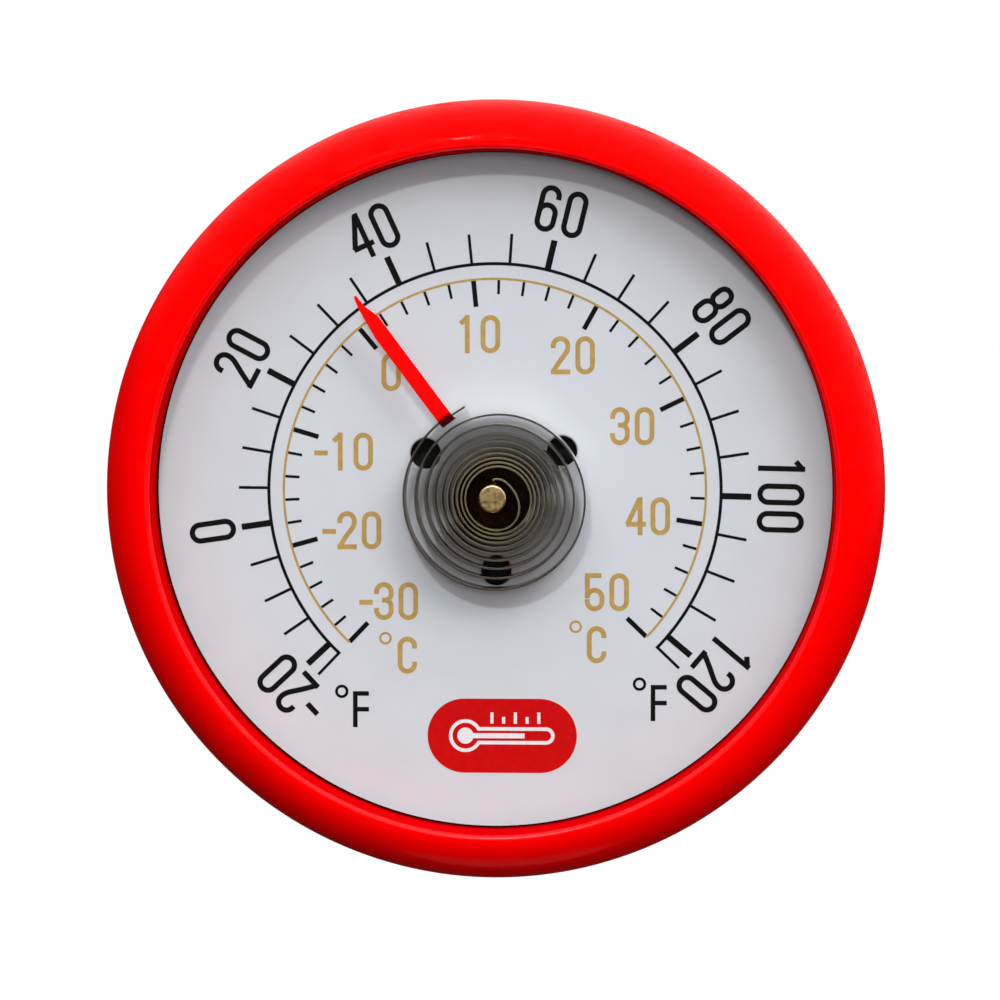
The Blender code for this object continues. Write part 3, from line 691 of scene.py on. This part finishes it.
def glyph_lines(char, a, b, stroke):
    """Centre lines of a narrow rounded figure: half width a, half height b. Each is (points, closed)."""
    end = stroke / 2.0
    bowl, joined, corner = 14, 12, 8
    top, bottom = (0.0, b - a), (0.0, a - b)
    hook = b - a - 0.3 * a
    if char == "0":
        outline = arc(a, 0, 180, bowl, top)[:-1] + [(-a, b - a)]
        return [(outline + arc(a, 180, 360, bowl, bottom), True)]
    if char == "1":
        stem = 0.2 * a
        flag = [(stem, b), (-0.72 * a, b - 0.85 * a)]
        return [([(stem, -b - end), (stem, b + end)], False), (flag, False)]
    if char == "2":
        over = [(-a, hook)] + arc(a, 180, 0, bowl, top)
        down = bezier((a, b - a), (a, b - 2.1 * a), (0.35 * a, 0.2 * a), (-a, -b))
        return [(over + down[1:], False), ([(-a - end, -b), (a + end, -b)], False)]
    if char == "3":
        waist, r = 0.06 * b, 0.85 * a
        upper = [(-a, hook)] + arc(a, 180, 0, bowl, top)
        upper += arc(r, 0, -90, corner, (a - r, waist + r))
        lower = arc(r, 90, 0, corner, (a - r, waist - r))
        lower += arc(a, 0, -180, bowl, bottom) + [(-a, -hook)]
        return [(upper + [(-0.25 * a, waist)], False), ([(-0.25 * a, waist)] + lower, False)]
    if char == "4":
        stem, bar = 0.6 * a, -0.48 * b
        left, right = -1.3 * a, 1.4 * a
        return [([(stem, -b - end), (stem, b + end)], False), ([(left, bar), (right, bar)], False),
                ([(stem - 0.1 * a, b + 0.2 * end), (left + 0.15 * a, bar)], False)]
    if char == "5":
        belly = arc(a, 170, 0, joined, (0.0, b - 3.0 * a))
        belly += arc(a, 0, -180, bowl, bottom) + [(-a, -hook)]
        flag, back = [(-a - end, b), (0.95 * a, b)], [(-a, b), (-a, b - 3.1 * a)]
        return [(flag, False), (back, False), (belly, False)]
    if char == "6":
        back = [(a, hook)] + arc(a, 0, 180, bowl, top) + arc(a, 180, 360, bowl, bottom)
        return [(back + arc(a, 0, 180, joined, (0.0, 0.16 * b - a)), False)]
    if char == "8":
        waist, r = 0.05 * b, 0.88 * a
        upper = arc(r, 0, 180, bowl, (0.0, b - r)) + arc(r, 180, 360, bowl, (0.0, waist + r))
        lower = arc(a, 0, 180, bowl, (0.0, waist - a)) + arc(a, 180, 360, bowl, bottom)
        return [(upper, True), (lower, True)]
    if char == "-":
        return [([(-0.95 * a, -0.08 * b), (0.95 * a, -0.08 * b)], False)]
    if char == "C":
        line = [(a, hook)] + arc(a, 0, 180, bowl, top)
        return [(line + arc(a, 180, 360, bowl, bottom) + [(a, -hook)], False)]
    if char == "F":
        return [([(-a, -b - end), (-a, b + end)], False), ([(-a, b), (1.15 * a, b)], False),
                ([(-a, 0.0), (1.15 * a, 0.0)], False)]
    return [(arc(a, 0, 360, 20)[:-1], True)]


def figure(char, place, turn, width, height, stroke):
    """Outlines of one figure, centred on a place and turned by degrees."""
    a, b = (width - stroke) / 2.0, (height - stroke) / 2.0
    cos, sin = math.cos(math.radians(turn)), math.sin(math.radians(turn))
    outlines = []
    for points, closed in glyph_lines(char, a, b, stroke):
        for quad in ribbon(points, stroke, closed):
            turned = [(x * cos - y * sin, x * sin + y * cos) for x, y in quad]
            outlines.append([(place[0] + x, place[1] + y) for x, y in turned])
    return outlines


def number(text, place, turn, size, dash_gap):
    """A number on equal cells, its digits centred on a place and a minus sign hung before them."""
    width, height, stroke, pitch = size
    along = polar(1.0, turn)
    digits = text.lstrip("-")
    outlines = []
    for k, char in enumerate(digits):
        spot = Vector(place) + along * pitch * (k - (len(digits) - 1) / 2.0)
        outlines += figure(char, spot, turn, width, height, stroke)
    if text != digits:
        spot = Vector(place) - along * dash_gap
        outlines += figure("-", spot, turn, width * 0.98, height, stroke)
    return outlines


def print_piece(name, outlines, mat, rise=INK_RISE):
    bm = bmesh.new()
    add_print(bm, outlines, DIAL_Z - INK_SINK, DIAL_Z + rise)
    return piece(name, bm, mat, "case")


def degree_sign(centre, letter_centre, letter, mark_size, letter_size):
    """The small ring and the letter after it."""
    ring_size, ring_stroke = mark_size
    outlines = figure("o", centre, 0.0, ring_size, ring_size, ring_stroke)
    return outlines + figure(letter, letter_centre, 0.0, *letter_size)


def build_fahrenheit(black):
    arc_r, tick_r = 44.25 * MM, 50.15 * MM
    arc_width, minor, major = 0.62 * MM, 0.57 * MM, 1.23 * MM
    first, last = -22, 122
    lines = ring_band(arc_r, arc_width, scale_angle(first), scale_angle(last))
    for end in (first, last):
        lines += tick(scale_angle(end), arc_r - arc_width / 2.0, tick_r, minor)
    for value in range(-20, 121, 5):
        lines += tick(scale_angle(value), arc_r, tick_r, minor if value % 20 else major)
    print_piece("fahrenheit_scale", lines, black)

    number_r = 55.9 * MM
    size = (4.2 * MM, 9.2 * MM, 1.05 * MM, 5.35 * MM)
    nudges = {40: -0.54 * MM, 100: -0.6 * MM, 120: -0.45 * MM}
    numerals = []
    for value in range(-20, 121, 20):
        angle = scale_angle(value)
        place = polar(number_r, angle) + polar(1.0, angle - 90.0) * nudges.get(value, 0.0)
        numerals += number(str(value), place, angle - 90.0, size, 7.1 * MM)
    letter = (3.4 * MM, 7.1 * MM, 0.9 * MM)
    mark = (2.65 * MM, 0.55 * MM)
    for ring_at, letter_at in (((-30.0, -39.6), (-26.1, -43.1)), ((28.4, -37.9), (32.3, -41.6))):
        numerals += degree_sign(Vector(ring_at) * MM, Vector(letter_at) * MM, "F", mark, letter)
    print_piece("fahrenheit_numerals", numerals, black)


def build_celsius(black, gold):
    arc_r, tick_r = 41.3 * MM, 41.2 * MM
    lines = []
    for value in range(-30, 51, 2):
        angle = scale_angle(from_celsius(value))
        inner, width = (36.0 * MM, 0.94 * MM) if value % 10 == 0 else (38.3 * MM, 0.53 * MM)
        lines += tick(angle, inner, tick_r, width)
    print_piece("celsius_ticks", lines, black)
    band = ring_band(arc_r, 0.45 * MM, scale_angle(-22), scale_angle(122))
    print_piece("celsius_arc", band, gold, INK_RISE * 1.3)

    size = (3.82 * MM, 7.45 * MM, 0.95 * MM, 4.8 * MM)
    places = {
        "10": (-3.2, 30.5), "20": (15.3, 26.4), "30": (26.9, 12.6), "40": (30.0, -5.0), "50": (22.0, -19.9),
        "0": (-20.2, 23.1), "-10": (-28.1, 7.5), "-20": (-26.5, -7.9), "-30": (-19.3, -21.8),
    }
    numerals = []
    for text, spot in places.items():
        numerals += number(text, Vector(spot) * MM, 0.0, size, 5.9 * MM)
    letter = (3.82 * MM, 7.3 * MM, 0.95 * MM)
    mark = (2.5 * MM, 0.45 * MM)
    for ring_at, letter_at in (((-21.4, -29.1), (-17.1, -32.4)), ((15.9, -26.7), (20.0, -30.2))):
        numerals += degree_sign(Vector(ring_at) * MM, Vector(letter_at) * MM, "C", mark, letter)
    print_piece("celsius_numerals", numerals, gold)


def build_badge(red, white):
    """A plain pill-shaped badge with a pictogram of a tube thermometer and its graduations."""
    centre = Vector((1.5, -48.2)) * MM
    length, height = 29.3 * MM, 14.6 * MM
    r = height / 2.0
    half = length / 2.0 - r
    right = arc(r, -90.0, 90.0, 32, (centre.x + half, centre.y))
    left = arc(r, 90.0, 270.0, 32, (centre.x - half, centre.y))
    print_piece("badge", [right + left], red)

    bulb = centre + Vector((-7.2, 0.0)) * MM
    tube_end = centre + Vector((8.6, 0.0)) * MM
    bulb_r, tube_r, line = 2.9 * MM, 1.35 * MM, 0.7 * MM
    opening = math.degrees(math.asin(tube_r / bulb_r))
    outline = arc(bulb_r, opening, 360.0 - opening, 28, bulb)
    outline += arc(tube_r, -90.0, 90.0, 14, tube_end)
    marks = ribbon(outline, line, closed=True)
    marks += ribbon([bulb, tube_end - Vector((4.2, 0.0)) * MM], 1.0 * MM)
    marks.append([tuple(point) for point in arc(1.6 * MM, 0.0, 360.0, 28, bulb)[:-1]])
    for k in range(5):
        x = bulb.x + (5.2 + 2.3 * k) * MM
        reach = (4.6 if k % 2 == 0 else 3.7) * MM
        marks += ribbon([(x, centre.y + 2.4 * MM), (x, centre.y + reach)], 0.6 * MM)
    print_piece("badge_pictogram", marks, white, INK_RISE * 2.0)


# ---------------------------------------------------------------- movement

def coil_point(turns):
    """Middle of the strip, a number of turns clockwise from where it leaves the post."""
    ramp = min(max((turns - LEAD_TURNS[0]) / (LEAD_TURNS[1] - LEAD_TURNS[0]), 0.0), 1.0)
    swing = ramp * ramp * (3.0 - 2.0 * ramp)
    lead = LEAD_R - LEAD_RISE * math.exp(-turns / LEAD_RISE_TURNS)
    grown = turns - COIL_SETTLED
    settled = COIL_R + COIL_PITCH * grown + COIL_SPREAD * grown ** 3
    outwards = polar(1.0, COIL_START_DEG - 360.0 * turns)
    return MOVEMENT + COIL_OFFSET * swing + outwards * (lead + (settled - lead) * swing)


def heading(degrees):
    return polar(1.0, degrees)


def build_coil(inner_mat, outer_mat, edge_mat):
    """The strip on edge, swept along the spiral and its straight tail; its turns share out the wind-up.

    Its two layers are different metals, so the side facing the post is not the colour of the other."""
    steps = math.ceil(COIL_TURNS * 96)
    spiral = [coil_point(COIL_TURNS * k / steps) for k in range(steps + 1)]
    tail_steps = 12
    along_tail = heading(TAIL_HEADING) * TAIL_LENGTH
    tail = [spiral[-1] + along_tail * (k + 1) / tail_steps for k in range(tail_steps)]
    points = spiral + tail
    half, edge, (low, high) = STRIP_THICK / 2.0, STRIP_EDGE, COIL_Z
    section = [
        (half - edge, low), (half, low + edge), (half, high - edge), (half - edge, high),
        (edge - half, high), (-half, high - edge), (-half, low + edge), (edge - half, low),
    ]
    sections = []
    for k, point in enumerate(points):
        along = (points[min(k + 1, len(points) - 1)] - points[max(k - 1, 0)]).normalized()
        side = Vector((along.y, -along.x))
        sections.append([(*(point + side * offset), z) for offset, z in section])
    bm = bmesh.new()
    add_tube(bm, sections)
    coil = finish_mesh("bimetal_spiral", bm, inner_mat)
    coil.data.materials.append(outer_mat)
    coil.data.materials.append(edge_mat)
    middle = UPRIGHT @ (MOVEMENT + COIL_OFFSET).to_3d()
    for face in coil.data.polygons:
        if abs(face.normal.y) > 0.5:
            face.material_index = 2
        elif face.normal.dot(face.center - middle) > 0.0:
            face.material_index = 1

    post_side, pointer_side = UPRIGHT @ spiral[0].to_3d(), UPRIGHT @ spiral[-1].to_3d()
    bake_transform(coil, "post", "pointer", start=post_side, end=pointer_side)
    lengths = [0.0]
    for near, far in zip(spiral, spiral[1:]):
        lengths.append(lengths[-1] + (far - near).length)
    shares = [length / lengths[-1] for length in lengths] + [1.0] * tail_steps
    weights = coil.data.attributes["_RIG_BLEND"].data
    for k in range(len(points)):
        for corner in range(len(section)):
            weights[k * len(section) + corner].value = shares[k]
    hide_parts("bimetal_coil")


def build_post(bright, dark):
    """Brass post with a pitted end face, a collar at its foot and a rib that holds the strip's end."""
    edge, segments = 0.35 * MM, 64
    chamfer, collar_edge = 0.15 * MM, 0.2 * MM
    profile = [(0.0, POST_BACK_Z), (SHAFT_R - chamfer, POST_BACK_Z), (SHAFT_R, POST_BACK_Z + chamfer)]
    profile += [(SHAFT_R, GROOVE_Z[0]), (GROOVE_R, GROOVE_Z[0])]
    profile += [(GROOVE_R, GROOVE_Z[1]), (SHAFT_R, GROOVE_Z[1])]
    profile += [(SHAFT_R, COLLAR_Z[0]), (COLLAR_R, COLLAR_Z[0])]
    collar_top = (COLLAR_R - collar_edge, COLLAR_Z[1] - collar_edge)
    profile += arc(collar_edge, 0.0, 90.0, 4, collar_top)
    profile += [(POST_R, COLLAR_Z[1])]
    profile += arc(edge, 0.0, 90.0, 8, (POST_R - edge, POST_END_Z - edge))
    face_steps = 14
    profile += [((POST_R - edge) * (1.0 - k / face_steps), POST_END_Z) for k in range(1, face_steps)]
    bm = bmesh.new()
    add_turned(bm, profile + [(0.0, POST_END_Z)], segments, MOVEMENT)
    pit_size, pit_depth = 0.9 * MM, 0.035 * MM
    for vert in bm.verts:
        if vert.co.z > POST_END_Z - edge:
            pit = noise.noise(vert.co / pit_size)
            vert.co.z -= pit_depth * max(pit, 0.0)
    post = piece("brass_post", bm, bright, "post", ["centre_post"])
    slot = bmesh.new()
    half, reach = 0.4 * MM, SHAFT_R + MM
    low, high = POST_BACK_Z - MM, POST_BACK_Z + 0.6 * MM
    corners = [(-reach, -half), (reach, -half), (reach, half), (-reach, half)]
    add_tube(slot, [[(x, MOVEMENT.y + y, z) for x, y in corners] for z in (low, high)])
    combine(post, finish_mesh("setting_slot", slot, bright), "DIFFERENCE")
    rib = bmesh.new()
    corners = [(-LUG_HALF_WIDTH, SHAFT_R), (LUG_HALF_WIDTH, SHAFT_R), (LUG_HALF_WIDTH, COLLAR_R)]
    corners += [(-LUG_HALF_WIDTH, COLLAR_R)]
    add_tube(rib, [[(x, MOVEMENT.y + y, z) for x, y in corners] for z in COIL_Z])
    combine(post, finish_mesh("strip_rib", rib, bright), "UNION")
    post.data.materials.append(dark)
    # painted shade: below its top 0.9 mm the post takes the near-black brass, for the shade inside the coil
    bright_height = 0.9 * MM
    for face in post.data.polygons:
        spot = UPRIGHT.inverted() @ face.center
        if spot.z < POST_END_Z - bright_height:
            face.material_index = 1


def pointer_foot():
    """Where the blade's middle crosses the strip's tail."""
    return coil_point(COIL_TURNS) + heading(TAIL_HEADING) * POINTER_ON_TAIL


def blade_edges(u):
    """Left and right edges of the pointer, u along it from the strip."""
    left = [(-1.0, -1.5), (20.7, -1.5), (27.2, -0.7), (29.4, -0.12), (29.6, 0.1)]
    right = [(-1.0, 1.5), (23.8, 1.5), (26.9, 0.55), (29.4, 0.45), (29.6, 0.3)]
    found = []
    for side in (left, right):
        spot = side[-1][1]
        for (near, here), (far, there) in zip(side, side[1:]):
            if near * MM <= u <= far * MM:
                spot = here + (there - here) * (u / MM - near) / (far - near)
                break
        if u < side[0][0] * MM:
            spot = side[0][1]
        found.append(spot * MM)
    return found


def build_pointer(mat):
    """A sheet-metal blade whose end is folded down against the strip's tail."""
    foot = pointer_foot()
    out, side = heading(POINTER_HEADING), heading(POINTER_HEADING - 90.0)
    half, edge = POINTER_THICK / 2.0, POINTER_EDGE
    bend_r = POINTER_BEND_R - half
    bend = (POINTER_TAB_FACE + POINTER_BEND_R, POINTER_TOP_Z - POINTER_BEND_R)
    face = POINTER_TAB_FACE + half
    path = [(face, POINTER_TAB_Z + 0.01 * MM, 180.0), (face, POINTER_TAB_Z + 1.0 * MM, 180.0)]
    for k in range(13):
        angle = 180.0 - 90.0 * k / 12
        spot = polar(bend_r, angle, bend)
        path.append((spot.x, spot.y, angle))
    for u in (4.0, 8.0, 14.0, 20.7, 23.8, 26.9, 27.2, 28.6, 29.4, 29.6):
        path.append((u * MM, POINTER_TOP_Z - half, 90.0))
    bm = bmesh.new()
    sections = []
    for u, z, facing in path:
        left, right = blade_edges(u)
        if z < POINTER_TAB_Z + 1.5 * MM:
            left, right = left * 0.93, right * 0.93
        away = polar(1.0, facing)
        outline = [(left + edge, half), (left, half - edge), (left, edge - half), (left + edge, -half)]
        outline += [(right - edge, -half), (right, edge - half), (right, half - edge), (right - edge, half)]
        section = []
        for offset, depth in outline:
            reach = u + away.x * depth
            spot = foot + out * reach + side * offset
            section.append((spot.x, spot.y, z + away.y * depth))
        sections.append(section)
    add_tube(bm, sections)
    piece("pointer_blade", bm, mat, "pointer", ["pointer"], 30.0)


# ---------------------------------------------------------------- back of the case

def dress(node, mat, edge=0.0):
    """Give a CAD node its material, and soften its edges."""
    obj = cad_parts[node]
    obj.data.materials.clear()
    obj.data.materials.append(mat)
    obj.data.shade_smooth()
    if edge:
        weld = obj.modifiers.new("weld", "WELD")
        weld.merge_threshold = 0.001 * MM
        bevel = obj.modifiers.new("edge", "BEVEL")
        bevel.width = edge
        bevel.segments = 2
        bevel.limit_method = "ANGLE"
        bevel.angle_limit = math.radians(40.0)
        bevel.use_clamp_overlap = True
        weigh_normals(obj)


# ---------------------------------------------------------------- room

def build_floor():
    """A plain pale floor, far below the hanging dial."""
    bm = bmesh.new()
    segments = 96
    outline = [(0.0, -FLOOR_THICK), (FLOOR_R, -FLOOR_THICK), (FLOOR_R, 0.0), (0.0, 0.0)]
    add_turned(bm, outline, segments)
    bmesh.ops.translate(bm, vec=(0.0, 0.0, ring_low.z - FLOOR_DEPTH), verts=bm.verts)
    mesh = bpy.data.meshes.new("floor")
    bm.to_mesh(mesh)
    bm.free()
    mat = new_material("floor_pale", (0.9, 0.9, 0.9), 0.7)
    cloud = pattern(mat, 0.2)
    drive(mat, "Base Color", tint(mat, cloud, (0.88, 0.88, 0.88), (0.91, 0.91, 0.91)))
    drive(mat, "Roughness", spread(mat, cloud, 0.65, 0.75))
    roughen(mat, pattern(mat, 2.0 * MM), 0.05 * MM, 0.3)
    mesh.materials.append(mat)
    floor = bpy.data.objects.new("floor", mesh)
    bpy.context.scene.collection.objects.link(floor)


def build_world():
    """White to the camera; as light, a bright half dome that leans a little to the right, and dim below."""
    world = bpy.data.worlds.new("studio")
    bpy.context.scene.world = world
    world.use_nodes = True
    nodes, links = world.node_tree.nodes, world.node_tree.links
    nodes.clear()
    output, mix = nodes.new("ShaderNodeOutputWorld"), nodes.new("ShaderNodeMixShader")
    seen, light = nodes.new("ShaderNodeBackground"), nodes.new("ShaderNodeBackground")
    ray, place = nodes.new("ShaderNodeLightPath"), nodes.new("ShaderNodeTexCoord")
    rise, ramp = nodes.new("ShaderNodeVectorMath"), nodes.new("ShaderNodeMapRange")
    seen.inputs["Color"].default_value = (1.0, 1.0, 1.0, 1.0)
    seen.inputs["Strength"].default_value = 1.0
    rise.operation = "DOT_PRODUCT"
    rise.inputs[1].default_value = DOME_AXIS
    ramp.inputs["From Min"].default_value = DOME_EDGE
    ramp.inputs["From Max"].default_value = 1.0
    ramp.inputs["To Min"].default_value = DOME_LIGHT[0]
    ramp.inputs["To Max"].default_value = DOME_LIGHT[1]
    light.inputs["Color"].default_value = DOME_COLOUR
    links.new(place.outputs["Generated"], rise.inputs[0])
    links.new(rise.outputs["Value"], ramp.inputs["Value"])
    links.new(ramp.outputs["Result"], light.inputs["Strength"])
    links.new(ray.outputs["Is Camera Ray"], mix.inputs["Fac"])
    links.new(light.outputs["Background"], mix.inputs[1])
    links.new(seen.outputs["Background"], mix.inputs[2])
    links.new(mix.outputs["Shader"], output.inputs["Surface"])


def area_light(name, azimuth, elevation, distance, size, power, glossy=True):
    """A rectangular softbox aimed at the dial; azimuth 0 stands in front of it, positive to the right."""
    a, e = math.radians(azimuth), math.radians(elevation)
    away = Vector((math.sin(a) * math.cos(e), -math.cos(a) * math.cos(e), math.sin(e)))
    data = bpy.data.lights.new(name, "AREA")
    data.shape = "RECTANGLE"
    data.size, data.size_y = size
    data.energy = power
    lamp = bpy.data.objects.new(name, data)
    lamp.location = CENTRE + away * distance
    lamp.rotation_euler = (-away).to_track_quat("-Z", "Y").to_euler()
    lamp.visible_glossy = glossy
    bpy.context.scene.collection.objects.link(lamp)


def build_lights():
    """A soft key from the upper right, a small bright window above, and a front light over the reader."""
    area_light("key", 30.0, 34.0, 1.1, (0.4, 0.4), 2.3, glossy=False)
    area_light("window", -6.0, 27.0, 1.2, (0.1, 0.04), 3.0)
    area_light("front_fill", 6.0, 5.0, 1.6, (0.4, 0.4), 3.8, glossy=False)


def build_camera():
    """The reader's eye, a little to the right of the dial and above it."""
    azimuth, elevation, distance = 2.8, 3.2, 0.9
    frame_width = 195.46 * MM
    aim = CENTRE + Vector((1.08 * MM, -DIAL_Z, -1.9 * MM))
    a, e = math.radians(azimuth), math.radians(elevation)
    away = Vector((math.sin(a) * math.cos(e), -math.cos(a) * math.cos(e), math.sin(e)))
    data = bpy.data.cameras.new("camera")
    data.sensor_width = 36.0
    data.lens = data.sensor_width * distance / frame_width
    camera = bpy.data.objects.new("camera", data)
    camera.location = CENTRE + Vector((0.0, -DIAL_Z, 0.0)) + away * distance
    camera.rotation_euler = (aim - camera.location).to_track_quat("-Z", "Y").to_euler()
    bpy.context.scene.collection.objects.link(camera)
    bpy.context.scene.camera = camera


# ---------------------------------------------------------------- everything

def build():
    bpy.context.scene.view_settings.view_transform = "Standard"
    build_camera()
    build_world()
    build_lights()
    build_floor()

    red, black_plastic, steel = red_gloss(), black_moulded(), zinc()
    brass_bright = brass("brass_pitted", (0.60, 0.40, 0.16), (0.82, 0.60, 0.30), 0.006 * MM)
    # painted shade: near-black brass for the post below its end and for the bushing, standing for the shade
    # down the well inside the coil
    painted_shade_brass = brass("brass_painted_shade", (0.014, 0.005, 0.001), (0.03, 0.012, 0.003), 0.01 * MM)
    black_ink = ink("black_ink", (0.003, 0.003, 0.003), (0.006, 0.006, 0.006))
    gold_ink = ink("gold_ink", (0.44, 0.27, 0.075), (0.52, 0.34, 0.11))
    badge_red = ink("badge_red_ink", (0.56, 0.0015, 0.002), (0.62, 0.003, 0.003))
    badge_white = ink("badge_white_ink", (0.78, 0.76, 0.78), (0.84, 0.83, 0.84))

    build_ring(red, red_wall(), red_lip())
    build_dial(dial_white())
    build_fahrenheit(black_ink)
    build_celsius(black_ink, gold_ink)
    build_badge(badge_red, badge_white)
    # painted shade: the first colour of each side's ramp, near the post, is the darkest, for the shade
    # between the close inner turns
    brown = ((0.04, 0.022, 0.008), (0.13, 0.09, 0.05), (0.30, 0.25, 0.18))
    silver = ((0.22, 0.15, 0.08), (0.74, 0.68, 0.58), (0.92, 0.91, 0.89))
    strip_inner = bimetal("strip_inner_side", *brown, 0.3)
    strip_outer = bimetal("strip_outer_side", *silver, 0.28)
    strip_edge = bimetal("strip_edge", (0.50, 0.40, 0.23), (0.25, 0.215, 0.16), (0.19, 0.18, 0.16), 0.3)
    build_coil(strip_inner, strip_outer, strip_edge)
    build_post(brass_bright, painted_shade_brass)
    build_pointer(red_paint())

    dress("lens", clear_plastic())
    dress("rear_case", black_plastic, 0.25 * MM)
    # painted shade: the bushing takes the near-black brass
    dress("post_bushing", painted_shade_brass, 0.1 * MM)
    dress("hanger_plate", steel, 0.12 * MM)
    for node in ("lock_washer", "bushing_nut", "spring_washer", "retaining_clip"):
        dress(node, steel, 0.06 * MM)
    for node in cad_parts:
        if node.startswith(("case_screw", "hanger_screw")):
            dress(node, steel, 0.08 * MM)
        if node.startswith("wall_pad"):
            dress(node, rubber(), 0.1 * MM)


build()
